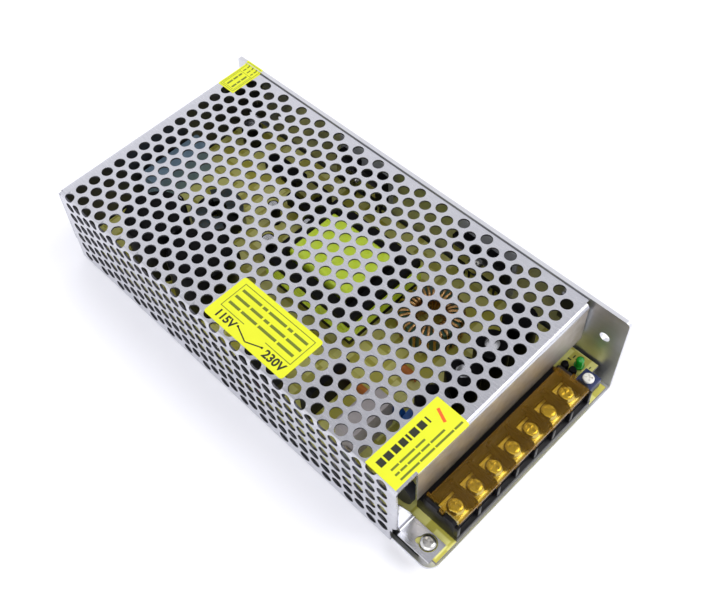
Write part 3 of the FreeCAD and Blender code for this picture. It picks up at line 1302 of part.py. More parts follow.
def make_driver():
    core_low = BOARD_TOP + S.driver_lift
    x = spread(S.driver_x, S.driver_size)
    y = spread(S.driver_y, S.driver_size)
    window_y = (y[0] + S.driver_leg, y[1] - S.driver_leg)
    legs = [(x[0] + S.driver_leg, S.driver_x - S.driver_leg / 2), (S.driver_x + S.driver_leg / 2, x[1] - S.driver_leg)]
    core = Design("driver_transformer_core")
    core.pad("XY_Plane", core_low, S.driver_core_height, [rectangle(x, y)])
    core.pocket("XY_Plane", core_low, S.driver_core_height, outlines=[rectangle(leg, window_y) for leg in legs])
    gap = S.bobbin_clearance
    coil_y = (window_y[0] + gap, window_y[1] - gap)
    coil_x = (legs[0][0] + gap, legs[1][1] - gap)
    coil_z = (core_low - S.driver_coil_rise - gap, core_low + S.driver_core_height + S.driver_coil_rise)
    coil = cut("driver_coil", box("driver_coil_blank", coil_x, coil_y, coil_z),
               box("driver_coil_bore", (legs[0][1] - gap, legs[1][0] + gap), coil_y,
                   (core_low - gap, core_low + S.driver_core_height + gap)))
    return core.body, coil


def make_disc(name, axis, across, along, radius, thickness):
    """A disc on two wire legs, upright on the board."""
    middle = BOARD_TOP + S.lead_lift + radius
    half = S.lead_width / 2
    start = {
        "X": (across - thickness / 2, along, middle),
        "Y": (across, along - thickness / 2, middle),
    }[axis]
    pieces = [rod(f"{name}_disc", axis, start, thickness, radius)]
    for side in (-1, 1):
        shift = radius * S.lead_share * side
        spot = (across, along + shift) if axis == "X" else (across + shift, along)
        pieces.append(box(f"{name}_leg_{side + 1}", (spot[0] - half, spot[0] + half),
                          (spot[1] - half, spot[1] + half), (BOARD_TOP, middle - radius * 0.5)))
    return fuse(name, *pieces)


def make_resistor(name, across, along):
    """A wire-ended resistor that lies along the case."""
    middle = BOARD_TOP + S.resistor_lift
    half = S.lead_width / 2
    y = spread(along, S.resistor_length)
    pieces = [rod(f"{name}_body", "Y", (across, y[0], middle), S.resistor_length, S.resistor_radius)]
    for side, (near_end, far_end) in (("front", (y[0] - S.resistor_wire, y[0])),
                                       ("rear", (y[1], y[1] + S.resistor_wire))):
        leg = near_end if side == "front" else far_end - S.lead_width
        pieces.append(box(f"{name}_wire_{side}", (across - half, across + half), (near_end, far_end),
                          (middle - half, middle + half)))
        pieces.append(box(f"{name}_leg_{side}", (across - half, across + half), (leg, leg + S.lead_width),
                          (BOARD_TOP, middle)))
    return fuse(name, *pieces)


def make_fuse_tube():
    design = Design("fuse_tube")
    half = S.fuse_length / 2
    neck = half - S.fuse_cap_length
    design.revolve([
        (0, -half), (S.fuse_cap_radius, -half), (S.fuse_cap_radius, -neck), (S.fuse_glass_radius, -neck),
        (S.fuse_glass_radius, neck), (S.fuse_cap_radius, neck), (S.fuse_cap_radius, half), (0, half),
    ])
    design.body.Placement = Placement(Vector(), AXIS_TURNS["Y"])
    bind_place(design.body, S.fuse_x, S.fuse_y, BOARD_TOP + S.fuse_height)
    return design.body


def make_clip(index, middle):
    """A spring clip: a block bored for the cap and open at the top."""
    bore = S.fuse_cap_radius + S.clip_clearance
    axis_z = BOARD_TOP + S.fuse_height
    y = spread(middle, S.clip_length)
    x = spread(S.fuse_x, 2 * (bore + S.clip_wall))
    block = box(f"clip_{index}_block", x, y, (BOARD_TOP, axis_z + bore))
    hole = rod(f"clip_{index}_hole", "Y", (S.fuse_x, y[0], axis_z), S.clip_length, bore)
    mouth = box(f"clip_{index}_mouth", spread(S.fuse_x, S.clip_mouth), y, (axis_z, axis_z + bore))
    return cut(f"clip_{index}", block, fuse(f"clip_{index}_space", hole, mouth))


def make_bridge():
    """A flat upright rectifier with a cut corner and four legs."""
    design = Design("bridge_rectifier")
    x = spread(S.bridge_x, S.bridge_width)
    low = BOARD_TOP + S.bridge_lift
    top = low + S.bridge_height
    corner = S.bridge_lift
    outline = [(x[0], low), (x[1], low), (x[1], top), (x[0] + corner, top), (x[0], top - corner)]
    design.pad("XZ_Plane", S.bridge_y - S.bridge_thickness / 2, S.bridge_thickness, [outline])
    legs = []
    for step in range(4):
        middle = x[0] + S.bridge_width * (step + 0.5) / 4
        legs.append(rectangle(spread(middle, S.lead_width), (BOARD_TOP, low)))
    design.pad("XZ_Plane", S.bridge_y - S.lead_width / 2, S.lead_width, legs)
    return design.body


def make_chip():
    """A flat control chip with its rows of pins drawn together into groups."""
    low = BOARD_TOP + S.chip_lift
    y = spread(S.chip_y, S.chip_length)
    pieces = [box("chip_body", spread(S.chip_x, S.chip_width), y, (low, low + S.chip_thickness))]
    step = S.chip_length / S.chip_pins
    for index in range(int(S.chip_pins.value)):
        middle = y[0] + step * (index + 0.5)
        pieces.append(box(f"chip_pins_{index}", spread(S.chip_x, S.chip_width + 2 * S.lead_width),
                          spread(middle, step * S.chip_pin_share), (BOARD_TOP, low + S.chip_thickness / 2)))
    return fuse("chip", *pieces)


node("bulk_capacitor_rear", make_can("bulk_rear", S.bulk_x, S.bulk_rear_y, S.bulk_radius, S.bulk_height))
node("bulk_capacitor_front", make_can("bulk_front", S.bulk_x, S.bulk_front_y, S.bulk_radius, S.bulk_height))
node("output_capacitors", group("output_cans", [
    make_can(f"output_can_{index}", S.output_first_x + S.output_spacing * index, S.output_y,
             S.output_radius, S.output_height)
    for index in range(int(S.output_count.value))
]))
node("film_capacitor", make_box_capacitor(
    "rear_box_capacitor", spread(Length.of(0), S.film_cap_length), spread(S.film_cap_y, S.film_cap_depth),
    S.film_cap_height))
node("x2_capacitor", make_box_capacitor(
    "front_box_capacitor", spread(S.line_cap_x, S.line_cap_length), spread(S.line_cap_y, S.line_cap_depth),
    S.line_cap_height))
node("transformer_core", make_transformer_core())
node("transformer_bobbin", make_bobbin())
node("transformer_coil", make_coil())
node("core_tape", make_core_tape())
node("toroid_core", ring("toroid_ring", S.toroid_x, S.toroid_y, BOARD_TOP + S.toroid_wire + S.toroid_clearance,
                         S.toroid_height, S.toroid_outer, S.toroid_inner))
node("toroid_winding", group("turns", [make_turn(index) for index in range(int(S.toroid_turns.value))]))
node("choke_core", ring("choke_ring", S.choke_x, S.choke_y, BOARD_TOP + S.choke_build + S.choke_clearance,
                        S.choke_height, S.choke_outer, S.choke_inner))
SECTOR_START = -S.choke_sector.value / 2
node("choke_windings", group("choke_winding_pair", [
    make_choke_winding("right", SECTOR_START), make_choke_winding("left", SECTOR_START + 180)]))
driver_core, driver_coil = make_driver()
node("driver_transformer_core", driver_core)
node("driver_transformer_coil", driver_coil)
node("y_capacitors", group("disc_capacitors", [
    make_disc("disc_first", "X", S.disc_first_x, S.disc_first_y, S.disc_radius, S.disc_thickness),
    make_disc("disc_second", "Y", S.disc_second_x, S.disc_second_y, S.disc_radius, S.disc_thickness)]))
node("thermistor", make_disc("thermistor_disc", "X", S.thermistor_x,
                             BLOCK_REAR + S.thermistor_gap + S.thermistor_radius,
                             S.thermistor_radius, S.thermistor_thickness))
node("resistors", group("resistor_set", [
    make_resistor("resistor_left", S.resistor_left_x, S.resistor_left_y),
    make_resistor("resistor_middle", S.resistor_middle_x, S.resistor_middle_y)]))
node("fuse_tube", make_fuse_tube())
CLIP_SHIFT = (S.fuse_length - S.fuse_cap_length) / 2
node("fuse_clips", group("clips", [make_clip(0, S.fuse_y - CLIP_SHIFT), make_clip(1, S.fuse_y + CLIP_SHIFT)]))
node("bridge_rectifier", make_bridge())
node("control_chip", make_chip())
SMALL_CANS = [
    (S.small_left_x, S.small_left_y, S.small_radius),
    (S.small_driver_x, S.small_driver_y, S.small_radius),
    (S.start_x, S.start_y, S.start_radius),
    (S.small_middle_x, S.small_middle_y, S.small_radius),
    (S.corner_x, S.corner_y, S.corner_radius),
    (S.input_x, S.input_y, S.corner_radius),
]
node("small_capacitors", group("small_cans", [
    make_can(f"small_can_{index}", across, along, radius, S.small_height)
    for index, (across, along, radius) in enumerate(SMALL_CANS)
] + [
    make_can(f"bead_{index}", S.bead_x, FRONT + S.bead_y + S.bead_spacing * index, S.bead_radius, S.bead_height)
    for index in range(2)
]))


# Power devices clamped to the wall, with their pads, bars and screws

PAD_FACE = WALL_FACE - S.pad_thickness
DEVICE_X = (PAD_FACE - S.device_clearance - S.device_thickness, PAD_FACE - S.device_clearance)
BAR_X = (DEVICE_X[0] - S.device_clearance - S.bar_thickness, DEVICE_X[0] - S.device_clearance)


def make_pad(name, middle):
    plate = box(f"{name}_plate", (PAD_FACE, WALL_FACE), spread(middle, S.pad_length), (S.pad_foot, S.pad_top))
    hole = rod(f"{name}_hole", "X", (PAD_FACE, middle, S.clamp_height), S.pad_thickness,
               S.screw_radius + S.screw_clearance)
    return cut(name, plate, hole)


def make_device(name, middle):
    """A flat power device with three legs that stand on the board."""
    body = box(f"{name}_body", DEVICE_X, spread(middle, S.device_width),
               (S.device_foot, S.device_foot + S.device_height))
    legs = []
    leg_x = spread((DEVICE_X[0] + DEVICE_X[1]) / 2, S.lead_width)
    for step in (-1, 0, 1):
        place = middle + S.device_width / 4 * step
        legs.append(box(f"{name}_leg_{step + 1}", leg_x, spread(place, S.lead_width), (BOARD_TOP, S.device_foot)))
    return fuse(name, body, *legs)


def make_devices(name, middle):
    return group(name, [make_device(f"{name}_{side + 1}", middle + S.device_spacing / 2 * side)
                        for side in (-1, 1)])


def make_bar(name, middle):
    plate = box(f"{name}_plate", BAR_X, spread(middle, S.bar_length), spread(S.clamp_height, S.bar_width))
    hole = rod(f"{name}_hole", "X", (BAR_X[0], middle, S.clamp_height), S.bar_thickness,
               S.screw_radius + S.screw_clearance)
    return cut(name, plate, hole)


def make_clamp_screw(name, middle):
    """A screw through the bar, between the devices and through the pad into the wall."""
    head_x = BAR_X[0] - S.screw_head_height
    shank = rod(f"{name}_shank", "X", (BAR_X[0], middle, S.clamp_height),
                WALL_FACE + S.clamp_thread - BAR_X[0], S.screw_radius)
    head = rod(f"{name}_head", "X", (head_x, middle, S.clamp_height), S.screw_head_height, S.screw_head_radius)
    return fuse(name, shank, head)


node("power_transistors", make_devices("transistors", S.transistor_y))
node("output_rectifiers", make_devices("rectifiers", S.rectifier_y))
node("insulating_pads", group("pads", [make_pad(f"wall_pad_{index}", middle)
                                       for index, middle in enumerate(CLAMP_PLACES)]))
node("clamp_bars", group("bars", [make_bar(f"wall_bar_{index}", middle)
                                  for index, middle in enumerate(CLAMP_PLACES)]))
node("clamp_screws", group("wall_screws", [make_clamp_screw(f"wall_screw_{index}", middle)
                                           for index, middle in enumerate(CLAMP_PLACES)]))


# Stickers on the top of the cover

STICKER_Z = (COVER_TOP, COVER_TOP + S.sticker_thickness)
FRONT_STICKER = (LEFT + S.front_sticker_left, FRONT + S.front_sticker_front)
SELECTOR_STICKER = (LEFT + S.selector_sticker_left, S.selector_sticker_front)
SMALL_STICKER = (RIGHT - S.small_sticker_right - S.small_sticker_width,
                 REAR - S.small_sticker_rear - S.small_sticker_length)


def make_sticker(name, corner, across, along):
    return box(name, (corner[0], corner[0] + across), (corner[1], corner[1] + along), STICKER_Z)


node("front_sticker", make_sticker("sticker_front", FRONT_STICKER, S.front_sticker_length, S.front_sticker_depth))
node("selector_sticker", make_sticker("sticker_selector", SELECTOR_STICKER, S.selector_sticker_width,
                                      S.selector_sticker_length))
node("inspection_sticker", make_sticker("sticker_small", SMALL_STICKER, S.small_sticker_width,
                                        S.small_sticker_length))

doc.recompute()
failed = [item.Name for item in doc.Objects if "Invalid" in item.State or "Error" in item.State]
if failed:
    raise RuntimeError(f"features that failed: {failed}")
for label, item in nodes.items():
    if item.Shape.isNull() or not item.Shape.isValid() or not item.Shape.Solids:
        raise RuntimeError(f"{label} has no valid solid")
for label, item in nodes.items():
    item.Shape.exportStep(f"parts/{label}.step")
    print(f"{label}: {len(item.Shape.Solids)} solids, {item.Shape.Volume:.1f} mm3")
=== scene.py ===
"""Switching power supply in a perforated case, dressed for a soft studio photograph.

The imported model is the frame. Each sub-assembly is a class that keeps its sizes in millimetres,
builds its meshes with bmesh operators and gives them their finishes.
"""

import logging
import math
from dataclasses import dataclass, field
from enum import Enum, IntEnum
from typing import Any, Callable, Iterable, Sequence

import bmesh
import bpy
from mathutils import Matrix, Vector

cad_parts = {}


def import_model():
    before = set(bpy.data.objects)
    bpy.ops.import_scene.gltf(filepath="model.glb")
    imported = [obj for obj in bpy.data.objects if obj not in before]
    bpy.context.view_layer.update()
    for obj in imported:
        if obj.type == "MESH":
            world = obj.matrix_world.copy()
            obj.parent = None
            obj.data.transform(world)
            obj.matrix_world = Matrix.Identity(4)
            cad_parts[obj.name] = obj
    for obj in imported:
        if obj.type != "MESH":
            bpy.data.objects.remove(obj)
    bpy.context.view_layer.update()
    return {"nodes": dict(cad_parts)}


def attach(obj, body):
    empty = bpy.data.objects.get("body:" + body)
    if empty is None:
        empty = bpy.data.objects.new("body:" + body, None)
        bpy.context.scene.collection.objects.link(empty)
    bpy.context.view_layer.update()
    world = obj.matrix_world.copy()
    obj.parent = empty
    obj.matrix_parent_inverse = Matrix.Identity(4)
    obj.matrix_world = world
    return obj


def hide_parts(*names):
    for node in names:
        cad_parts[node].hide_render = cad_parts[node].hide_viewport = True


MM = 0.001
IMAGE = (710, 596)
# How far a vertex may lie from a line and count as on it, in millimetres.
SLACK = 0.01
# How far touching shapes run into each other, in millimetres, so that no two faces share a plane.
OVERLAP = 0.01
log = logging.getLogger("power_supply")
Place = Sequence[float]
# Left, front, right and rear of a printed bar.
Bar = tuple[float, float, float, float]


class Body(Enum):
    """The moving groups that a piece can ride on."""

    CASE = "case"
    LID = "lid"
    ROTOR = "rotor"
    SLIDER = "slider"


class Axis(Enum):
    """The direction in which a turned piece stands."""

    X = Matrix.Rotation(math.radians(90), 3, "Y")
    Y = Matrix.Rotation(math.radians(-90), 3, "X")
    Z = Matrix.Identity(3)


class SheetFace(IntEnum):
    """The material slots of the perforated cover: the rolled face, the sheared edges, the inner skin darkened as
    painted shade, and the front fold coloured with a painted reflection.
    """

    ROLLED = 0
    SHEARED = 1
    INNER = 2
    FOLD = 3


class BoardFace(IntEnum):
    """The material slots of the circuit board."""

    MASK = 0
    EDGE = 1


class CanFace(IntEnum):
    """The material slots of the electrolytic capacitors."""

    SLEEVE = 0
    METAL = 1


# Finishes


def linear(colour: str) -> tuple[float, float, float, float]:
    """Turns an sRGB hex value into a linear colour.

    Args:
        colour: six hex digits, with or without a leading mark.

    Returns:
        Linear red, green and blue with an alpha of one.
    """
    parts = [int(colour.lstrip("#")[at:at + 2], 16) / 255 for at in (0, 2, 4)]
    red, green, blue = (part / 12.92 if part <= 0.04045 else ((part + 0.055) / 1.055) ** 2.4 for part in parts)
    return red, green, blue, 1.0


def add_node(tree: bpy.types.NodeTree, kind: str, settings: dict[Any, Any] | None = None,
             links: dict[Any, bpy.types.NodeSocket] | None = None) -> bpy.types.Node:
    """Adds a node to a material.

    Args:
        tree: the material's node tree.
        kind: the node's type name.
        settings: properties by name, or values of input sockets by name or number.
        links: sockets that feed the node's inputs, by name or number.

    Returns:
        The new node.
    """
    node = tree.nodes.new(kind)
    for key, value in (settings or {}).items():
        if isinstance(key, str) and hasattr(node, key):
            setattr(node, key, value)
        else:
            node.inputs[key].default_value = value
    for key, socket in (links or {}).items():
        tree.links.new(socket, node.inputs[key])
    return node


@dataclass(frozen=True)
class Finish:
    """A surface whose colour, gloss and relief wander a little, as on every made thing.

    The noise has lumps of `grain` millimetres, drawn out by `stretch`. The colour runs from `shade`
    to `colour`, the roughness by `gloss_drift` to each side, and the relief is `relief` millimetres deep.
    """

    name: str
    colour: str
    shade: str
    roughness: float = 0.5
    gloss_drift: float = 0.06
    metallic: float = 0.0
    ior: float = 1.5
    coat: float = 0.0
    grain: float = 2.0
    stretch: tuple[float, float, float] = (1.0, 1.0, 1.0)
    relief: float = 0.01
    relief_strength: float = 0.2
    coat_roughness: float = 0.08

    def make(self) -> bpy.types.Material:
        """Builds the material.

        Returns:
            The material, with its nodes.
        """
        material = bpy.data.materials.new(self.name)
        material.use_nodes = True
        tree = material.node_tree
        tree.nodes.clear()
        place = add_node(tree, "ShaderNodeTexCoord").outputs["Object"]
        shader = add_node(tree, "ShaderNodeBsdfPrincipled", {
            "Metallic": self.metallic,
            "IOR": self.ior,
            "Coat Weight": self.coat,
            "Coat Roughness": self.coat_roughness,
        })
        self.dress(tree, shader, place)
        surface = self.surface(tree, shader)
        add_node(tree, "ShaderNodeOutputMaterial", links={"Surface": surface})
        return material

    def lumps(self, tree: bpy.types.NodeTree, place: bpy.types.NodeSocket, grain: float,
              stretch: Place = (1.0, 1.0, 1.0), detail: float = 3.0) -> bpy.types.NodeSocket:
        """Gives a noise of a real size.

        Args:
            tree: the material's node tree.
            place: object coordinates.
            grain: size of the lumps in millimetres.
            stretch: factors on the coordinates, where less than one draws the lumps out.
            detail: finer layers of the noise.

        Returns:
            The noise's value socket.
        """
        mapped = add_node(tree, "ShaderNodeMapping", {"Scale": stretch}, {"Vector": place})
        return add_node(tree, "ShaderNodeTexNoise", {"Scale": 1 / (grain * MM), "Detail": detail},
                        {"Vector": mapped.outputs[0]}).outputs[0]

    def dress(self, tree: bpy.types.NodeTree, shader: bpy.types.Node, place: bpy.types.NodeSocket) -> None:
        """Feeds the shader's colour, roughness and normal.

        Args:
            tree: the material's node tree.
            shader: the main shader node.
            place: object coordinates.
        """
        noise = self.lumps(tree, place, self.grain, self.stretch)
        tone = add_node(tree, "ShaderNodeMix", {"data_type": "RGBA", 6: linear(self.shade), 7: linear(self.colour)},
                        {0: noise})
        gloss = add_node(tree, "ShaderNodeMapRange", {
            "To Min": self.roughness - self.gloss_drift,
            "To Max": self.roughness + self.gloss_drift,
        }, {"Value": noise})
        bump = add_node(tree, "ShaderNodeBump", {"Strength": self.relief_strength, "Distance": self.relief * MM},
                        {"Height": noise})
        tree.links.new(tone.outputs[2], shader.inputs["Base Color"])
        tree.links.new(gloss.outputs[0], shader.inputs["Roughness"])
        tree.links.new(bump.outputs[0], shader.inputs["Normal"])

    def surface(self, tree: bpy.types.NodeTree, shader: bpy.types.Node) -> bpy.types.NodeSocket:
        """Gives the socket that goes to the surface, here the shader's own."""
        return shader.outputs[0]


@dataclass(frozen=True)
class Clear(Finish):
    """Clear coloured plastic: light passes through with a tint, the rest shines off the surface.

    `body` is the share that doesn't pass where it is seen square on, and `edge_blend` how fast that grows
    towards a slanting view.
    """

    tint: str = "ffffff"
    body: float = 0.4
    edge_blend: float = 0.25

    def surface(self, tree: bpy.types.NodeTree, shader: bpy.types.Node) -> bpy.types.NodeSocket:
        """Mixes the shader with a tinted passage of light.

        Args:
            tree: the material's node tree.
            shader: the main shader node.

        Returns:
            The mixed socket.
        """
        passage = add_node(tree, "ShaderNodeBsdfTransparent", {"Color": linear(self.tint)})
        edge = add_node(tree, "ShaderNodeLayerWeight", {"Blend": self.edge_blend})
        share = add_node(tree, "ShaderNodeMapRange", {"To Min": self.body, "To Max": 1.0},
                         {"Value": edge.outputs["Facing"]})
        return add_node(tree, "ShaderNodeMixShader", links={
            0: share.outputs[0], 1: passage.outputs[0], 2: shader.outputs[0]}).outputs[0]


@dataclass(frozen=True)
class Laminate(Finish):
    """Circuit board: a yellow solder mask over copper tracks, which show through it a shade darker.

    The tracks lie about `track_pitch` millimetres apart. `track_band` is where the mask's tone turns into
    the track's, as a distance in pitches.
    """

    track: str = "c2bb4e"
    track_pitch: float = 7.0
    track_wander: float = 0.8
    track_band: tuple[float, float] = (0.40, 0.46)

    def dress(self, tree: bpy.types.NodeTree, shader: bpy.types.Node, place: bpy.types.NodeSocket) -> None:
        """Adds square-cornered tracks under the mask.

        Args:
            tree: the material's node tree.
            shader: the main shader node.
            place: object coordinates.
        """
        super().dress(tree, shader, place)
        tone = shader.inputs["Base Color"].links[0].from_socket
        cells = add_node(tree, "ShaderNodeTexVoronoi", {
            "distance": "CHEBYCHEV", "Scale": 1 / (self.track_pitch * MM),
            "Randomness": self.track_wander,
        }, {"Vector": place})
        band = add_node(tree, "ShaderNodeMapRange", {
            "From Min": self.track_band[0], "From Max": self.track_band[1],
        }, {"Value": cells.outputs["Distance"]})
        mixed = add_node(tree, "ShaderNodeMix", {"data_type": "RGBA", 7: linear(self.track)},
                         {0: band.outputs[0], 6: tone})
        tree.links.new(mixed.outputs[2], shader.inputs["Base Color"])


# Rolled aluminium sheet: the rolling leaves faint streaks along the case and a soft, silky reflection.
COVER_SHEET = Finish("rolled_aluminium_cover", "d3d3d8", "bfc0c6", 0.26, 0.05, 1.0, grain=0.9,
                     stretch=(1.0, 0.3, 1.0), relief=0.01, relief_strength=0.1)
CHASSIS_SHEET = Finish("rolled_aluminium_chassis", "dcdde0", "cecfd3", 0.4, 0.04, 1.0, grain=2.2,
                       stretch=(1.0, 0.15, 1.0), relief=0.01, relief_strength=0.1)
# The sheared edge of the sheet: torn bright metal, much rougher than the rolled face.
SHEARED_EDGE = Finish("sheared_aluminium_edge", "fafafc", "ecedf0", 0.6, 0.08, 1.0, grain=0.4)
# The front fold of the cover, rubbed dull on the folding tool; its warm brown tone is a painted reflection of the
# amber lid.
FOLD_SHEET_PAINTED_REFLECTION = Finish("aluminium_fold_painted_amber_reflection", "cac4be", "aca294", 0.48, 0.05, 1.0, grain=2.5, relief_strength=0.1)
# The inner face of the same sheet and the walls of its punched holes: dull, with a dark colour that is painted shade,
# as they never stand in the light.
SHADED_INNER_SHEET = Finish("aluminium_inner_face_painted_shade", "6a6a70", "58585e", 0.5, 0.06, 1.0, grain=0.9)
# Zinc-plated steel: bright and slightly cloudy.
ZINC_STEEL = Finish("zinc_plated_steel", "d6d5d2", "c2c0bb", 0.24, 0.07, 1.0, grain=1.0)
NICKEL_STEEL = Finish("nickel_plated_steel", "dcd6c6", "c8c0ac", 0.22, 0.06, 1.0, grain=0.9)
TINNED_BRASS = Finish("tinned_brass", "d8d2c0", "c2b998", 0.3, 0.06, 1.0, grain=1.4)
ALUMINIUM_FOIL_TOP = Finish("drawn_aluminium_can", "e6e7ea", "d8d9dd", 0.26, 0.05, 1.0, grain=1.5)
# Moulded plastics: a fine spark-eroded grain that takes the gloss down.
BLOCK_PLASTIC = Finish("moulded_black_polyester", "0d0c12", "07060a", 0.34, 0.05, ior=1.3, grain=0.5, relief=0.02)
DEVICE_PLASTIC = Finish("moulded_black_epoxy", "0b0b0e", "070709", 0.5, 0.06, ior=1.25, grain=0.6, relief=0.02)
SELECTOR_PLASTIC = Finish("moulded_black_nylon", "1a1a1c", "121214", 0.45, 0.05, grain=0.8)
SLIDER_PLASTIC = Finish("moulded_red_nylon", "b3261e", "a01f18", 0.42, 0.05, grain=0.8)
TRIMMER_PLASTIC = Finish("moulded_blue_polyester", "102459", "0b1a44", 0.34, 0.05, grain=0.8)
ROTOR_PLASTIC = Finish("moulded_white_nylon", "f0efe9", "e4e2da", 0.4, 0.05, grain=0.8)
BOBBIN_PLASTIC = Finish("moulded_bobbin_phenolic", "110f0e", "0c0b0a", 0.5, 0.05, ior=1.25, grain=0.8)
PALE_BOX_PLASTIC = Finish("moulded_pale_box", "b9b2b2", "aca5a5", 0.5, 0.05, grain=1.2)
BOX_PLASTIC = Finish("moulded_grey_box", "8ba4b8", "6f899e", 0.42, 0.05, grain=1.2)
# Clear amber polycarbonate: tinted, glossy, with a brighter body where it is seen edge on.
LID_PLASTIC = Clear("clear_amber_polycarbonate", "a47c2c", "8e6a20", 0.12, 0.03, ior=1.5, grain=6.0,
                    relief=0.02, tint="fff6c2", body=0.075)
LAMP_EPOXY = Clear("diffused_green_epoxy", "1fae35", "128a26", 0.14, 0.03, ior=1.54, coat=0.5, grain=2.0,
                   tint="3fd457", body=0.75)
FUSE_GLASS = Clear("fuse_glass", "e8efec", "dfe8e4", 0.06, 0.02, ior=1.5, coat=0.5, grain=3.0, tint="f2f7f5",
                   body=0.15)
# Paper-based laminate with a yellow-green solder mask, and the sawn edge of it.
BOARD_EDGE = Finish("sawn_paper_laminate", "6f6c68", "5c5a57", 0.7, 0.05, grain=0.5)
BOARD_MASK = Laminate("laminate_yellow_mask", "ece88e", "ded978", 0.38, 0.05, ior=1.5, coat=0.25, grain=9.0,
                      relief=0.02)
# Sleeves, tapes and films: thin plastics that wrinkle a little and shine in patches.
CAN_SLEEVE = Finish("shrunk_black_sleeve", "08080c", "050507", 0.34, 0.05, ior=1.2, grain=4.0, relief=0.05)
LIME_TAPE = Finish("lime_polyester_tape", "e6ff4a", "dcf83c", 0.28, 0.05, coat=0.35, grain=5.0, relief=0.06)
OLIVE_TAPE = Finish("aged_polyester_tape", "7d7a30", "6b6826", 0.35, 0.05, coat=0.2, grain=4.0, relief=0.05)
BLACK_FILM = Finish("black_polypropylene_film", "08090b", "050606", 0.5, 0.08, ior=1.12, grain=8.0, relief=0.1)
STICKER_VINYL = Finish("yellow_vinyl_sticker", "dce01c", "d3d814", 0.5, 0.05, grain=7.0, relief=0.03)
PRINT_INK = Finish("dark_print_ink", "20240a", "191c07", 0.55, 0.04, grain=1.0)
MARK_INK = Finish("orange_print_ink", "f0651c", "e65a14", 0.55, 0.04, grain=1.0)
FINE_INK = Finish("olive_print_ink", "6d7a16", "5c6911", 0.55, 0.04, grain=1.0)
# Ferrite, enamelled wire and dipped parts: fired, drawn or dipped, each with a gloss of its own.
FERRITE = Finish("sintered_ferrite", "111113", "0c0c0e", 0.6, 0.1, ior=1.25, grain=0.7, relief=0.03)
# The ring's mint coat is darkened to paint the shade in the gaps between the turns of wire.
SHADED_MINT_RING = Finish("mint_epoxy_ring_painted_shade", "4f6f5a", "3f5c49", 0.35, 0.05, coat=0.2, grain=1.5)
COPPER_WIRE = Finish("enamelled_copper_wire", "d8ac70", "a97c48", 0.28, 0.06, 1.0, coat=0.5, grain=0.8)
CHOKE_WIRE = Finish("enamelled_choke_wire", "2b5560", "56402f", 0.3, 0.06, 1.0, coat=0.4, grain=0.5,
                    stretch=(0.4, 0.4, 2.0))
DISC_EPOXY = Finish("dipped_blue_epoxy", "1f5fae", "184f96", 0.3, 0.05, coat=0.3, grain=1.5, relief=0.05)
THERMISTOR_EPOXY = Finish("dipped_dark_epoxy", "2b2c30", "202126", 0.45, 0.05, grain=1.5, relief=0.05)
RESISTOR_LACQUER = Finish("lacquered_resistor", "c8742c", "b5641f", 0.4, 0.05, grain=1.2)
PAD_SILICONE = Finish("grey_silicone_pad", "a9abb0", "9b9da3", 0.7, 0.05, grain=1.5)
# The floor of the studio: matt paper, so pale that it leaves only the shadow.
FLOOR_PAPER = Finish("matt_white_paper", "fcfcff", "fbfbfe", 0.9, 0.02, grain=40.0, relief=0.0)

NODE_FINISHES: dict[str, Finish] = {
    "chassis": CHASSIS_SHEET,
    "pcb_standoffs": ZINC_STEEL,
    "terminal_contacts": TINNED_BRASS,
    "led_leads": ZINC_STEEL,
    "selector_switch_body": SELECTOR_PLASTIC,
    "selector_slider": SLIDER_PLASTIC,
    "film_capacitor": BOX_PLASTIC,
    "x2_capacitor": PALE_BOX_PLASTIC,
    "transformer_core": FERRITE,
    "transformer_bobbin": BOBBIN_PLASTIC,
    "transformer_coil": LIME_TAPE,
    "core_tape": LIME_TAPE,
    "toroid_core": SHADED_MINT_RING,
    "choke_core": FERRITE,
    "choke_windings": CHOKE_WIRE,
    "driver_transformer_core": FERRITE,
    "driver_transformer_coil": OLIVE_TAPE,
    "y_capacitors": DISC_EPOXY,
    "thermistor": THERMISTOR_EPOXY,
    "resistors": RESISTOR_LACQUER,
    "fuse_tube": FUSE_GLASS,
    "fuse_clips": TINNED_BRASS,
    "bridge_rectifier": DEVICE_PLASTIC,
    "control_chip": DEVICE_PLASTIC,
    "power_transistors": DEVICE_PLASTIC,
    "output_rectifiers": DEVICE_PLASTIC,
    "insulating_pads": PAD_SILICONE,
    "clamp_bars": ZINC_STEEL,
    "clamp_screws": ZINC_STEEL,
}


class Finishes:
    """Keeps one material for each finish."""

    def __init__(self) -> None:
        """Starts with none made."""
        self.made: dict[str, bpy.types.Material] = {}

    def get(self, finish: Finish) -> bpy.types.Material:
        """Gives the material of a finish, and makes it on first use.

        Args:
            finish: the finish that is wanted.

        Returns:
            Its material.
        """
        if finish.name not in self.made:
            self.made[finish.name] = finish.make()
        return self.made[finish.name]


FINISHES = Finishes()


# Shaping


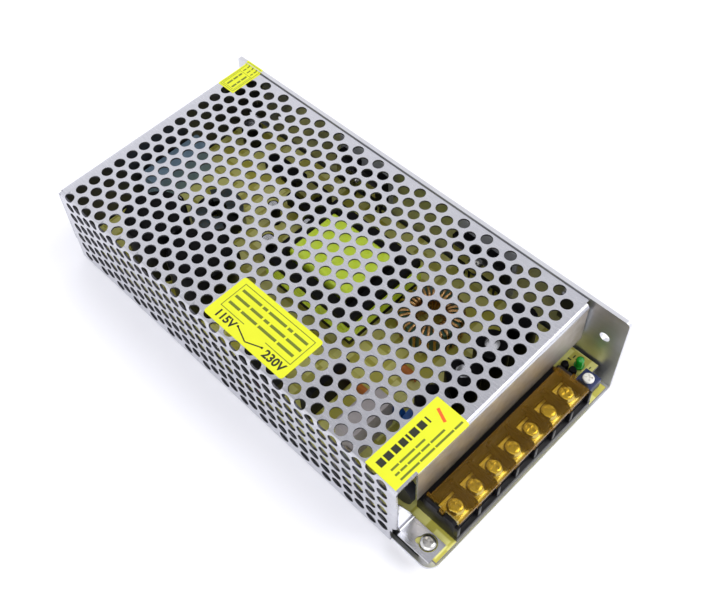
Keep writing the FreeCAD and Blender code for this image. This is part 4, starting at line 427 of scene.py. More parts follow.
class Sculpt:
    """A mesh in the making, in millimetres, with the moves that this object needs."""

    def __init__(self) -> None:
        """Starts empty."""
        self.mesh = bmesh.new()

    @classmethod
    def copy_of(cls, node: bpy.types.Object) -> "Sculpt":
        """Copies a CAD node, merged and with its flat faces joined.

        Args:
            node: the CAD node's object.

        Returns:
            The copy, ready to be rounded.
        """
        sculpt = cls()
        mesh = sculpt.mesh
        mesh.from_mesh(node.data)
        bmesh.ops.scale(mesh, vec=(1 / MM,) * 3, verts=mesh.verts)
        bmesh.ops.remove_doubles(mesh, verts=mesh.verts, dist=0.004)
        bmesh.ops.dissolve_limit(mesh, angle_limit=math.radians(1.5), verts=mesh.verts, edges=mesh.edges)
        return sculpt

    def fresh(self, before: set[bmesh.types.BMVert]) -> list[bmesh.types.BMVert]:
        """Lists the vertices that were added since a set of them was taken.

        Args:
            before: the vertices of that set.

        Returns:
            The new vertices.
        """
        return [vert for vert in self.mesh.verts if vert not in before]

    def soften(self, width: float, segments: int = 2, sharp: float = 30.0,
               verts: Iterable[bmesh.types.BMVert] | None = None) -> list[bmesh.types.BMFace]:
        """Rounds the sharp edges.

        Args:
            width: width of the rounding in millimetres.
            segments: faces across the rounding.
            sharp: least angle in degrees of an edge that is rounded.
            verts: the vertices whose edges are rounded, or all of them.

        Returns:
            The faces of the roundings.
        """
        chosen = set(self.mesh.verts if verts is None else verts)
        edges = [edge for edge in self.mesh.edges
                 if edge.verts[0] in chosen and edge.verts[1] in chosen and len(edge.link_faces) == 2
                 and edge.calc_face_angle(0.0) > math.radians(sharp)]
        return bmesh.ops.bevel(self.mesh, geom=edges, offset=width, offset_type="OFFSET", segments=segments,
                               profile=0.5, affect="EDGES", clamp_overlap=True, material=-1)["faces"]

    def block(self, low: Place, high: Place, soft: float = 0.0, segments: int = 2) -> list[bmesh.types.BMVert]:
        """Adds a box with rounded edges.

        Args:
            low: its lowest corner.
            high: its highest corner.
            soft: width of the rounding.
            segments: faces across the rounding.

        Returns:
            The box's vertices.
        """
        before = set(self.mesh.verts)
        low, high = Vector(low), Vector(high)
        made = bmesh.ops.create_cube(self.mesh, size=1.0)["verts"]
        bmesh.ops.scale(self.mesh, vec=high - low, verts=made)
        bmesh.ops.translate(self.mesh, vec=(high + low) / 2, verts=made)
        if soft:
            self.soften(soft, segments, verts=made)
        return self.fresh(before)

    def turned(self, profile: Sequence[tuple[float, float]], centre: Place, axis: Axis = Axis.Z,
               steps: int = 32) -> list[bmesh.types.BMVert]:
        """Adds a turned shape.

        Args:
            profile: radius and height of each point, from the lower pole to the upper one.
            centre: where height nought is.
            axis: the direction of the height.
            steps: faces round the shape.

        Returns:
            The shape's vertices.
        """
        before = set(self.mesh.verts)
        line = [self.mesh.verts.new((radius, 0.0, height)) for radius, height in profile]
        edges = [self.mesh.edges.new(pair) for pair in zip(line, line[1:])]
        bmesh.ops.spin(self.mesh, geom=line + edges, cent=(0, 0, 0), axis=(0, 0, 1), angle=math.tau,
                       steps=steps, use_merge=True)
        made = self.fresh(before)
        bmesh.ops.remove_doubles(self.mesh, verts=made, dist=1e-4)
        made = self.fresh(before)
        bmesh.ops.rotate(self.mesh, cent=(0, 0, 0), matrix=axis.value, verts=made)
        bmesh.ops.translate(self.mesh, vec=centre, verts=made)
        return made

    def repeat(self, pattern: bmesh.types.BMesh, places: Iterable[Matrix]) -> None:
        """Adds a copy of a mesh at each place.

        Args:
            pattern: the mesh that is copied, which is used up.
            places: where the copies go.
        """
        plan = bpy.data.meshes.new("pattern")
        pattern.to_mesh(plan)
        pattern.free()
        for place in places:
            plan.transform(place)
            self.mesh.from_mesh(plan)
            plan.transform(place.inverted())
        bpy.data.meshes.remove(plan)

    def paint(self, verts: Iterable[bmesh.types.BMVert], slot: int) -> None:
        """Gives the faces between some vertices a material slot.

        Args:
            verts: the vertices.
            slot: the material slot.
        """
        chosen = set(verts)
        for face in self.mesh.faces:
            if all(vert in chosen for vert in face.verts):
                face.material_index = slot

    def finish(self, name: str, finishes: Sequence[Finish], body: Body, stands_for: Sequence[str] = (),
               slot: str = "", smooth: float = 32.0, closed: bool = True) -> bpy.types.Object:
        """Turns the mesh into a finished piece.

        Args:
            name: the piece's name.
            finishes: its finishes, in the order of its material slots.
            body: the group that it rides on.
            stands_for: the CAD nodes that it replaces.
            slot: the record's material slot for its finish; not used.
            smooth: greatest angle in degrees that is shaded smooth.
            closed: whether its faces are turned outwards here.

        Returns:
            The piece's object.
        """
        if closed:
            bmesh.ops.recalc_face_normals(self.mesh, faces=self.mesh.faces)
        bmesh.ops.scale(self.mesh, vec=(MM,) * 3, verts=self.mesh.verts)
        mesh = bpy.data.meshes.new(name)
        self.mesh.to_mesh(mesh)
        self.mesh.free()
        mesh.shade_smooth()
        mesh.set_sharp_from_angle(angle=math.radians(smooth))
        for finish in finishes:
            mesh.materials.append(FINISHES.get(finish))
        piece = bpy.data.objects.new(name, mesh)
        bpy.context.scene.collection.objects.link(piece)
        if stands_for:
            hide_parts(*stands_for)
        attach(piece, body.value)
        log.info("%s: %d faces", name, len(mesh.polygons))
        return piece


def cross_head(radius: float, height: float, arm: float, width: float, depth: float, steps: int = 28) -> Sculpt:
    """Makes a pan head with a cross recess, its underside at height nought.

    Args:
        radius: radius of the head.
        height: height of the head.
        arm: reach of the recess from the middle.
        width: width of the recess.
        depth: depth of the recess.
        steps: faces round the head.

    Returns:
        The head as a mesh.
    """
    sculpt = Sculpt()
    sculpt.turned([(0.0, 0.0), (radius, 0.0), (radius, height * 0.45), (radius * 0.94, height * 0.72),
                   (radius * 0.8, height * 0.9), (radius * 0.55, height), (0.0, height)], (0, 0, 0), steps=steps)
    tool = Sculpt()
    half = width / 2
    tool.block((-arm, -half, height - depth), (arm, half, height + 1))
    bar = tool.block((-half, -arm, height - depth), (half, arm, height + 1))
    bmesh.ops.translate(tool.mesh, vec=(0, 0, OVERLAP), verts=bar)
    return carve(sculpt, tool)


def carve(solid: Sculpt, tool: Sculpt) -> Sculpt:
    """Cuts one closed mesh out of another.

    Args:
        solid: the mesh that is cut.
        tool: the mesh that is taken away.

    Returns:
        What is left.
    """
    objects = []
    for label, sculpt in (("solid", solid), ("tool", tool)):
        bmesh.ops.recalc_face_normals(sculpt.mesh, faces=sculpt.mesh.faces)
        mesh = bpy.data.meshes.new(label)
        sculpt.mesh.to_mesh(mesh)
        sculpt.mesh.free()
        item = bpy.data.objects.new(label, mesh)
        bpy.context.scene.collection.objects.link(item)
        objects.append(item)
    change = objects[0].modifiers.new("carve", "BOOLEAN")
    change.operation = "DIFFERENCE"
    change.solver = "EXACT"
    change.use_self = True
    change.object = objects[1]
    bpy.context.view_layer.update()
    carved = bpy.data.meshes.new_from_object(objects[0].evaluated_get(bpy.context.evaluated_depsgraph_get()))
    left = Sculpt()
    left.mesh.from_mesh(carved)
    for item in objects:
        mesh = item.data
        bpy.data.objects.remove(item)
        bpy.data.meshes.remove(mesh)
    bpy.data.meshes.remove(carved)
    return left


# Perforated cover


@dataclass
class MeshCover:
    """The perforated cover: a flat sheet with a staggered hole field, folded over the side, front and rear.

    The flat sheet lies in X and Y. Left of `fold_start` it is wrapped round the long edge and down the side.
    A lug is its lower and upper height, and the rear tab its left and right side. The hole and the notch of
    the front tab are X, Y and radius, and a hole of a lug is Y and height. Faces of the rims smaller than
    `wall_area` square millimetres are walls of punched holes.
    """

    right: float = 47.7
    fold_start: float = -47.9
    fold_length: float = 3.4
    side: float = -49.5
    top: float = 41.2
    bend: float = 1.6
    gauge: float = 0.8
    pitch: float = 6.2
    row_spacing: float = 5.369
    first_row: float = -77.7
    rows: int = 32
    columns: int = 22
    cell_columns: int = 6
    cell_rows: int = 4
    hole_radius: float = 2.3
    border: float = 0.2
    foot: float = 1.2
    front: float = -83.7
    flat_front: float = -82.1
    notch_rear: float = -81.1
    rear: float = 95.2
    flat_rear: float = 93.6
    side_rear: float = 94.3
    lip_left: float = -39.5
    lip_right: float = 46.1
    lip_foot: float = 21.0
    cheek_top: float = 30.8
    cheek_right: float = -41.2
    cheek_shoulder: float = 13.0
    notch_top: float = 9.3
    tab_fold: float = 12.6
    tab_front: float = -98.0
    front_lug: tuple[float, float] = (22.5, 36.5)
    rear_lug: tuple[float, float] = (14.0, 36.0)
    lug_length: float = 10.1
    rear_foot: float = 1.8
    rear_tab: tuple[float, float] = (-47.5, -39.5)
    rear_tab_length: float = 10.6
    tab_hole: tuple[float, float, float] = (-44.6, -93.4, 3.2)
    tab_notch: tuple[float, float, float] = (-46.0, -90.7, 1.3)
    tab_level: float = 11.8
    lug_holes: tuple[tuple[float, float], ...] = ((-78.0, 29.5), (88.0, 25.5))
    rear_tab_hole: tuple[float, float, float] = (-43.5, 88.0, 11.0)
    fixing_radius: float = 1.55
    punch_reach: float = 9.0
    fold_steps: int = 6
    rim_round: float = 0.34
    rim_angle: float = 60.0
    wall_area: float = 0.65
    sculpt: Sculpt = field(default_factory=Sculpt, init=False, repr=False)

    @property
    def mesh(self) -> bmesh.types.BMesh:
        """The sheet as it stands."""
        return self.sculpt.mesh

    def build(self) -> bpy.types.Object:
        """Builds the whole cover and dresses it.

        Returns:
            The finished piece.
        """
        self.lay_field()
        self.add_borders()
        self.fold_side()
        self.fold_lip()
        self.fold_cheek()
        self.fold_tab()
        self.fold_rear()
        self.cut_fixing_holes()
        self.thicken()
        return self.sculpt.finish("perforated_cover", [COVER_SHEET, SHEARED_EDGE, SHADED_INNER_SHEET, FOLD_SHEET_PAINTED_REFLECTION],
                                  Body.CASE, ["mesh_cover"], "cover_sheet", closed=False)

    def cell(self, columns: int, holed: bool) -> bpy.types.Mesh:
        """Makes one cell of the field about the origin: a patch of sheet, with a round hole or plain.

        Args:
            columns: quads across the patch, where `cell_columns` make a full pitch.
            holed: whether it has the hole.

        Returns:
            The cell as a mesh.
        """
        cell = bmesh.new()
        bmesh.ops.create_grid(cell, x_segments=columns, y_segments=self.cell_rows, size=0.5)
        bmesh.ops.scale(cell, vec=(self.pitch * columns / self.cell_columns, self.row_spacing, 1), verts=cell.verts)
        if holed:
            inner = [vert for vert in cell.verts if not vert.is_boundary]
            bmesh.ops.delete(cell, geom=inner, context="VERTS")
            rim = list(cell.edges)
            ring = bmesh.ops.create_circle(cell, segments=len(rim), radius=self.hole_radius)["verts"]
            edges = {edge for vert in ring for edge in vert.link_edges}
            bmesh.ops.bridge_loops(cell, edges=rim + list(edges))
        turned = [face for face in cell.faces if face.normal.z < 0]
        bmesh.ops.reverse_faces(cell, faces=turned)
        mesh = bpy.data.meshes.new("cell")
        cell.to_mesh(mesh)
        cell.free()
        return mesh

    def lay_cell(self, mesh: bpy.types.Mesh, across: float, along: float) -> None:
        """Adds a copy of a cell at a place of the flat sheet.

        Args:
            mesh: the cell.
            across: X of its middle.
            along: Y of its middle.
        """
        place = Matrix.Translation((across, along, 0))
        mesh.transform(place)
        self.mesh.from_mesh(mesh)
        mesh.transform(place.inverted())

    def lay_field(self) -> None:
        """Lays the staggered rows of cells and joins them."""
        holed = self.cell(self.cell_columns, True)
        plain = self.cell(self.cell_columns // 2, False)
        start = self.right - self.border
        for row in range(self.rows):
            along = self.first_row + self.row_spacing * row
            if row % 2:
                for column in range(self.columns):
                    self.lay_cell(holed, start - self.pitch * (column + 0.5), along)
                continue
            self.lay_cell(plain, start - self.pitch / 4, along)
            for column in range(self.columns - 1):
                self.lay_cell(holed, start - self.pitch * (column + 1), along)
            self.lay_cell(plain, start - self.pitch * (self.columns - 0.25), along)
        bmesh.ops.remove_doubles(self.mesh, verts=self.mesh.verts, dist=SLACK)
        for mesh in (holed, plain):
            bpy.data.meshes.remove(mesh)

    def flat_reach(self) -> float:
        """How far left of the middle the flat sheet reaches, down to the foot of the side."""
        return self.fold_length - self.fold_start + self.top - self.bend - self.foot

    def flat_of(self, height: float) -> float:
        """Gives the flat sheet's X of a height on the side.

        Args:
            height: the height above the ground.

        Returns:
            X before the side is folded.
        """
        return self.fold_start - self.fold_length - (self.top - self.bend - height)

    def open_edges(self, wanted: Callable[[Vector], bool]) -> list[bmesh.types.BMEdge]:
        """Lists the open edges both of whose ends pass a test.

        Args:
            wanted: the test on a place.

        Returns:
            The edges.
        """
        return [edge for edge in self.mesh.edges
                if edge.is_boundary and all(wanted(vert.co) for vert in edge.verts)]

    def pull(self, edges: list[bmesh.types.BMEdge], way: Place) -> list[bmesh.types.BMEdge]:
        """Draws new sheet out of open edges.

        Args:
            edges: the open edges.
            way: the direction and distance.

        Returns:
            The new open edges at the far end.
        """
        made = bmesh.ops.extrude_edge_only(self.mesh, edges=edges)["geom"]
        verts = [item for item in made if isinstance(item, bmesh.types.BMVert)]
        bmesh.ops.translate(self.mesh, vec=way, verts=verts)
        ends = set(verts)
        return [item for item in made if isinstance(item, bmesh.types.BMEdge)
                and item.verts[0] in ends and item.verts[1] in ends]

    def roll(self, edges: list[bmesh.types.BMEdge], centre: Place, axis: Place,
             degrees: float) -> list[bmesh.types.BMEdge]:
        """Rolls new sheet out of open edges round a fold line.

        Args:
            edges: the open edges.
            centre: a point on the fold line.
            axis: the fold line's direction.
            degrees: the angle of the fold.

        Returns:
            The new open edges at the far end.
        """
        verts = list({vert for edge in edges for vert in edge.verts})
        made = bmesh.ops.spin(self.mesh, geom=verts + edges, cent=centre, axis=axis,
                              angle=math.radians(degrees), steps=self.fold_steps)["geom_last"]
        return [item for item in made if isinstance(item, bmesh.types.BMEdge)]

    def slit(self, point: Place, normal: Place, wanted: Callable[[Vector], bool] | None = None) -> None:
        """Puts a line of vertices across the sheet where a plane meets it.

        Args:
            point: a point of the plane.
            normal: the plane's normal.
            wanted: a test on the middle of the faces that are divided, or all of them.
        """
        faces = [face for face in self.mesh.faces if wanted is None or wanted(face.calc_center_median())]
        edges = {edge for face in faces for edge in face.edges}
        verts = {vert for face in faces for vert in face.verts}
        bmesh.ops.bisect_plane(self.mesh, geom=faces + list(edges) + list(verts), dist=1e-4,
                               plane_co=point, plane_no=normal)

    def add_borders(self) -> None:
        """Adds the plain borders of the flat sheet, each as long as the part that folds from it."""
        start = self.right - self.border
        self.pull(self.open_edges(lambda co: co.x > start - SLACK), (self.border, 0, 0))
        end = start - self.pitch * self.columns
        self.pull(self.open_edges(lambda co: co.x < end + SLACK), (-self.flat_reach() - end, 0, 0))
        low = self.first_row - self.row_spacing / 2
        high = low + self.row_spacing * self.rows
        self.pull(self.open_edges(lambda co: co.y < low + SLACK), (0, self.notch_rear - low, 0))
        for place in (self.lip_right, self.lip_left, self.flat_of(self.cheek_top), self.flat_of(self.tab_fold),
                      self.flat_of(self.notch_top)):
            self.slit((place, 0, 0), (1, 0, 0), lambda co: co.y < low)
        notch = self.flat_of(self.notch_top) - SLACK
        self.pull(self.open_edges(lambda co: co.y < self.notch_rear + SLACK and co.x > notch),
                  (0, self.flat_front - self.notch_rear, 0))
        far = self.flat_of(self.cheek_top) - SLACK
        self.pull(self.open_edges(lambda co: co.y < self.flat_front + SLACK and far < co.x < self.lip_left + SLACK),
                  (0, self.front - self.flat_front, 0))
        self.pull(self.open_edges(lambda co: co.y > high - SLACK), (0, self.flat_rear - high, 0))
        for place in (self.lip_right, self.fold_start, self.fold_start - self.fold_length):
            self.slit((place, 0, 0), (1, 0, 0), lambda co: co.y > high)
        corner = self.fold_start - self.fold_length + SLACK
        self.pull(self.open_edges(lambda co: co.y > self.flat_rear - SLACK and co.x < corner),
                  (0, self.side_rear - self.flat_rear, 0))

    def fold_side(self) -> None:
        """Wraps the sheet round the long edge and down the side."""
        for step in range(self.fold_steps + 1):
            self.slit((self.fold_start - self.fold_length * step / self.fold_steps, 0, 0), (1, 0, 0))
        crown = self.top - self.bend
        for vert in self.mesh.verts:
            past = self.fold_start - vert.co.x
            if past <= 0:
                vert.co.z = self.top
            elif past < self.fold_length:
                angle = past / self.fold_length * math.pi / 2
                vert.co.x = self.fold_start - self.bend * math.sin(angle)
                vert.co.z = crown + self.bend * math.cos(angle)
            else:
                vert.co.x = self.side
                vert.co.z = crown - (past - self.fold_length)

    def fold_lip(self) -> None:
        """Folds the front lip and the lug at its right end."""
        crown = self.top - self.bend
        inside = (self.lip_left - SLACK, self.lip_right + SLACK)
        edge = self.open_edges(lambda co: abs(co.y - self.flat_front) < SLACK and co.z > self.top - SLACK
                               and inside[0] < co.x < inside[1])
        edge = self.roll(edge, (0, self.flat_front, crown), (1, 0, 0), 90)
        for height in (self.front_lug[1], self.front_lug[0], self.lip_foot):
            level = edge[0].verts[0].co.z
            edge = self.pull(edge, (0, 0, height - level))
        edge = self.open_edges(lambda co: abs(co.x - self.lip_right) < SLACK and abs(co.y - self.front) < SLACK
                               and self.front_lug[0] - SLACK < co.z < self.front_lug[1] + SLACK)
        edge = self.roll(edge, (self.lip_right, self.flat_front, 0), (0, 0, 1), 90)
        self.pull(edge, (0, self.lug_length, 0))

    def fold_cheek(self) -> None:
        """Folds the cheek, which narrows from the side towards its free end."""
        edge = self.open_edges(lambda co: abs(co.y - self.flat_front) < SLACK and co.x < self.side + SLACK
                               and self.tab_fold - SLACK < co.z < self.cheek_top + SLACK)
        edge = self.roll(edge, (self.fold_start, self.flat_front, 0), (0, 0, 1), 90)
        edge = self.pull(edge, (self.cheek_right - self.fold_start, 0, 0))
        drop = (self.cheek_shoulder - self.tab_fold) / (self.cheek_top - self.tab_fold)
        for vert in {vert for item in edge for vert in item.verts}:
            vert.co.z = self.tab_fold + (vert.co.z - self.tab_fold) * drop

    def fold_tab(self) -> None:
        """Folds the screw tab forward from the foot of the cheek."""
        edge = self.open_edges(lambda co: abs(co.z - self.tab_fold) < SLACK and abs(co.y - self.front) < SLACK
                               and co.x < self.cheek_right + SLACK)
        centre = (0, self.front - self.gauge, self.tab_fold)
        edge = self.roll(edge, centre, (1, 0, 0), -90)
        self.pull(edge, (0, self.tab_front - centre[1], 0))
        shelf = self.tab_fold - self.gauge
        self.pull(self.open_edges(lambda co: abs(co.z - shelf) < SLACK and abs(co.x - self.fold_start) < SLACK
                                  and co.y < centre[1] + SLACK), (self.side - self.fold_start, 0, 0))

    def fold_rear(self) -> None:
        """Folds the rear wall with its lug and screw tab."""
        crown = self.top - self.bend
        edge = self.open_edges(lambda co: abs(co.y - self.flat_rear) < SLACK and co.z > self.top - SLACK
                               and self.fold_start - SLACK < co.x < self.lip_right + SLACK)
        edge = self.roll(edge, (0, self.flat_rear, crown), (1, 0, 0), -90)
        for height in (self.rear_lug[1], self.rear_lug[0], self.tab_fold):
            level = edge[0].verts[0].co.z
            edge = self.pull(edge, (0, 0, height - level))
        wall = self.rear_tab[1] + self.gauge
        near = self.rear - SLACK
        for place in (wall, self.rear_tab[1], self.rear_tab[0]):
            self.slit((place, 0, 0), (1, 0, 0), lambda co: co.y > near)
        self.pull(self.open_edges(lambda co: co.y > near and co.x < self.fold_start + SLACK and co.z < crown + SLACK),
                  (self.side - self.fold_start, 0, 0))
        self.pull(self.open_edges(lambda co: co.y > near and co.z < self.tab_fold + SLACK and co.x > wall - SLACK),
                  (0, 0, self.rear_foot - self.tab_fold))
        edge = self.open_edges(lambda co: co.y > near and co.z < self.tab_fold + SLACK
                               and self.rear_tab[0] - SLACK < co.x < self.rear_tab[1] + SLACK)
        edge = self.roll(edge, (0, self.flat_rear, self.tab_fold), (1, 0, 0), -90)
        self.pull(edge, (0, -self.rear_tab_length, 0))
        edge = self.open_edges(lambda co: abs(co.x - self.lip_right) < SLACK and co.y > near
                               and self.rear_lug[0] - SLACK < co.z < self.rear_lug[1] + SLACK)
        edge = self.roll(edge, (self.lip_right, self.flat_rear, 0), (0, 0, 1), -90)
        self.pull(edge, (0, -self.lug_length, 0))

    def cut_fixing_holes(self) -> None:
        """Opens the screw holes of the lugs and tabs, the front one with its small side notch."""
        middle, notch = (Vector((*place[:2], self.tab_level)) for place in (self.tab_hole, self.tab_notch))
        ring = self.punch(middle, self.tab_hole[2], Axis.Z, 48)
        for vert in ring:
            way = (vert.co - middle).normalized()
            along = way.dot(notch - middle)
            aside = ((notch - middle) - way * along).length
            if along > 0 and aside < self.tab_notch[2]:
                reach = along + math.sqrt(self.tab_notch[2] ** 2 - aside ** 2)
                vert.co = middle + way * max(reach, self.tab_hole[2])
        for place in self.lug_holes:
            self.punch((self.right, *place), self.fixing_radius, Axis.X)
        self.punch(self.rear_tab_hole, self.fixing_radius, Axis.Z)

    def punch(self, centre: Place, radius: float, axis: Axis, steps: int = 24) -> list[bmesh.types.BMVert]:
        """Replaces the flat sheet round a point by one face with a round hole.

        Args:
            centre: middle of the hole, on the sheet.
            radius: radius of the hole.
            axis: the direction of the hole.
            steps: least number of edges round the hole.

        Returns:
            The vertices of the hole's rim.
        """
        middle = Vector(centre)
        normal = axis.value @ Vector((0, 0, 1))
        near = [item for item in self.mesh.faces if abs(item.normal.dot(normal)) > 0.99
                and abs((item.calc_center_median() - middle).dot(normal)) < 0.05
                and (item.calc_center_median() - middle).length < self.punch_reach]
        face = bmesh.ops.dissolve_faces(self.mesh, faces=near)["region"][0]
        rim = list(face.edges)
        bmesh.ops.delete(self.mesh, geom=[face], context="FACES_ONLY")
        cuts = max(1, math.ceil(steps / len(rim)) - 1)
        divided = bmesh.ops.subdivide_edges(self.mesh, edges=rim, cuts=cuts)["geom_split"]
        rim = [item for item in divided if isinstance(item, bmesh.types.BMEdge)]
        ring = bmesh.ops.create_circle(self.mesh, segments=len(rim), radius=radius,
                                       matrix=Matrix.Translation(middle) @ axis.value.to_4x4())["verts"]
        edges = {edge for vert in ring for edge in vert.link_edges}
        bmesh.ops.bridge_loops(self.mesh, edges=rim + list(edges))
        return ring

    def thicken(self) -> None:
        """Turns the skin outwards, gives it the sheet's thickness and breaks the outer edges of the holes."""
        bmesh.ops.remove_doubles(self.mesh, verts=self.mesh.verts, dist=SLACK / 2)
        bmesh.ops.recalc_face_normals(self.mesh, faces=self.mesh.faces)
        self.mesh.faces.ensure_lookup_table()
        crown = max(self.mesh.faces, key=lambda face: face.calc_center_median().z)
        if crown.normal.z < 0:
            bmesh.ops.reverse_faces(self.mesh, faces=self.mesh.faces)
        outside, outer_faces = len(self.mesh.verts), len(self.mesh.faces)
        skin = bpy.data.meshes.new("skin")
        self.mesh.to_mesh(skin)
        self.mesh.free()
        item = bpy.data.objects.new("skin", skin)
        bpy.context.scene.collection.objects.link(item)
        shell = item.modifiers.new("gauge", "SOLIDIFY")
        shell.thickness = self.gauge
        shell.offset = -1
        bpy.context.view_layer.update()
        solid = bpy.data.meshes.new_from_object(item.evaluated_get(bpy.context.evaluated_depsgraph_get()))
        self.sculpt = Sculpt()
        self.sculpt.mesh.from_mesh(solid)
        bpy.data.objects.remove(item)
        for mesh in (skin, solid):
            bpy.data.meshes.remove(mesh)
        self.sculpt.mesh.verts.ensure_lookup_table()
        self.sculpt.mesh.faces.ensure_lookup_table()
        self.dress_faces(outer_faces)
        for face in self.sculpt.soften(self.rim_round, 1, self.rim_angle, self.sculpt.mesh.verts[:outside]):
            face.material_index = SheetFace.SHEARED

    def dress_faces(self, outer_faces: int) -> None:
        """Gives the inner skin, the walls of the holes and the front fold their material slots.

        Args:
            outer_faces: the number of faces of the outer skin. The inner skin's follow them, and then the walls'.
        """
        faces = self.sculpt.mesh.faces
        walls = [face for face in faces[2 * outer_faces:] if face.calc_area() < self.wall_area]
        # The inner skin and the walls of the holes take the dark colour of painted shade.
        for face in faces[outer_faces:2 * outer_faces] + walls:
            face.material_index = SheetFace.INNER
        for face in faces[:outer_faces]:
            middle = face.calc_center_median()
            # The outer faces of the front lip take the fold's painted reflection of the amber lid.
            if middle.y < self.front + SLACK and middle.z > self.lip_foot and middle.x > self.lip_left:
                face.material_index = SheetFace.FOLD


# Terminals


@dataclass
class Terminals:
    """The barrier terminal block: its housing, washers, screws and amber lid.

    The screws' recess is its reach, width and depth. The lid is drawn out by `lid_lap` behind its hinge, and
    the housing's rear riser is `riser_drop` lower than in the CAD.
    """

    middle: float = -3.0
    pitch: float = 9.5
    count: int = 7
    screw_y: float = -93.2
    seat: float = 17.0
    washer_size: float = 7.2
    washer_thickness: float = 1.0
    head_radius: float = 3.1
    head_height: float = 2.3
    shank_radius: float = 1.6
    shank_foot: float = 13.0
    recess: tuple[float, float, float] = (1.922, 0.8, 0.9)
    first_turn: float = 0.3
    turn_step: float = 0.7
    washer_plate: float = 0.8
    washer_bore: float = 1.7
    washer_round: float = 0.25
    dish_radius: float = 3.5
    dish_top: float = 3.2
    dish_shoulder: float = 0.85
    edge_round: float = 0.18
    lid_round: float = 0.16
    riser_top: float = 19.4
    riser_drop: float = 1.0
    lid_lap: float = 1.3
    rib_half: float = 0.68
    end_rib_shift: float = 0.75
    rib_front: float = -99.4
    rib_back: float = -97.7
    rib_heights: tuple[float, float] = (13.9, 20.0)

    def poles(self) -> list[float]:
        """The middle of each pole across the case."""
        return [self.middle + self.pitch * (pole - (self.count - 1) / 2) for pole in range(self.count)]

    def ribs(self) -> list[float]:
        """The middle of each partition across the case, the end ones further out."""
        shifts = [-self.end_rib_shift] + [0.0] * (self.count - 1) + [self.end_rib_shift]
        return [self.middle + self.pitch * (gap - self.count / 2) + shift for gap, shift in enumerate(shifts)]

    def build(self, nodes: dict[str, bpy.types.Object]) -> None:
        """Builds the whole block.

        Args:
            nodes: the CAD nodes by name.
        """
        self.build_housing(nodes["terminal_block"])
        self.build_washers()
        self.build_screws()
        self.build_lid(nodes["terminal_cover"])

    def build_housing(self, node: bpy.types.Object) -> None:
        """Builds the housing, with a rib on its front ledge in line with each partition.

        Args:
            node: the CAD node of the housing.
        """
        housing = Sculpt.copy_of(node)
        for vert in housing.mesh.verts:
            if abs(vert.co.z - self.riser_top) < SLACK:
                vert.co.z -= self.riser_drop
        foot, head = self.rib_heights
        for middle in self.ribs():
            left, right = middle - self.rib_half, middle + self.rib_half
            housing.block((left, self.rib_front, foot), (right, self.rib_back, head))
        housing.soften(self.edge_round, 2)
        housing.finish("terminal_housing", [BLOCK_PLASTIC], Body.CASE, ["terminal_block"], "block_plastic")

    def build_lid(self, node: bpy.types.Object) -> None:
        """Builds the lid, drawn out behind its hinge.

        Args:
            node: the CAD node of the lid.
        """
        lid = Sculpt.copy_of(node)
        rear = max(vert.co.y for vert in lid.mesh.verts)
        for vert in lid.mesh.verts:
            if vert.co.y > rear - SLACK:
                vert.co.y += self.lid_lap
        lid.soften(self.lid_round, 2)
        lid.finish("terminal_lid", [LID_PLASTIC], Body.LID, ["terminal_cover"], "lid_amber")

    def build_washers(self) -> None:
        """Builds the square washers, each with a raised dish round its hole."""
        washers = Sculpt()
        half, low = self.washer_size / 2, self.seat
        top = low + self.washer_thickness
        for pole in self.poles():
            washers.block((pole - half, self.screw_y - half, low),
                          (pole + half, self.screw_y + half, low + self.washer_plate),
                          self.washer_round, 2)
            washers.turned([(self.washer_bore, low), (self.dish_radius, low),
                            (self.dish_radius, low + self.dish_shoulder), (self.dish_top, top),
                            (self.washer_bore, top), (self.washer_bore, low)], (pole, self.screw_y, 0), steps=28)
        washers.finish("square_washers", [NICKEL_STEEL], Body.CASE, ["terminal_washers"], "washer_steel")

    def build_screws(self) -> None:
        """Builds the cross-head screws of the poles."""
        head = cross_head(self.head_radius, self.head_height, *self.recess)
        level = self.seat + self.washer_thickness
        foot = self.shank_foot - level
        head.turned([(0.0, foot), (self.shank_radius * 0.7, foot), (self.shank_radius, foot + 0.6),
                     (self.shank_radius, OVERLAP), (0.0, OVERLAP)], (0, 0, 0), steps=16)
        screws = Sculpt()
        screws.repeat(head.mesh, [
            Matrix.Translation((pole, self.screw_y, level))
            @ Matrix.Rotation(self.turn_step * index + self.first_turn, 4, "Z")
            for index, pole in enumerate(self.poles())])
        screws.finish("terminal_screw_set", [NICKEL_STEEL], Body.CASE, ["terminal_screws"], "screw_steel")


# Board and fixings


@dataclass
class BoardScrews:
    """The pan-head screws that hold the board, two of them through the tabs of the cover.

    The recess is its reach, width and depth.
    """

    places: tuple[tuple[float, float, float], ...] = (
        (-44.6, -93.4, 11.0), (-44.6, 14.0, 11.0), (43.0, -78.0, 11.0), (43.0, 87.0, 11.0), (-43.5, 88.0, 11.8))
    head_radius: float = 2.8
    head_height: float = 2.0
    recess: tuple[float, float, float] = (1.736, 0.85, 1.3)
    shank_radius: float = 1.5
    length: float = 6.0
    first_turn: float = 0.5
    turn_step: float = 0.9

    def build(self) -> None:
        """Builds the five screws."""
        head = cross_head(self.head_radius, self.head_height, *self.recess)
        head.turned([(0.0, -self.length), (self.shank_radius, -self.length), (self.shank_radius, OVERLAP),
                     (0.0, OVERLAP)], (0, 0, 0), steps=16)
        screws = Sculpt()
        screws.repeat(head.mesh, [
            Matrix.Translation(place) @ Matrix.Rotation(self.turn_step * index + self.first_turn, 4, "Z")
            for index, place in enumerate(self.places)])
        screws.finish("board_screw_set", [ZINC_STEEL], Body.CASE, ["pcb_screws"], "screw_steel")


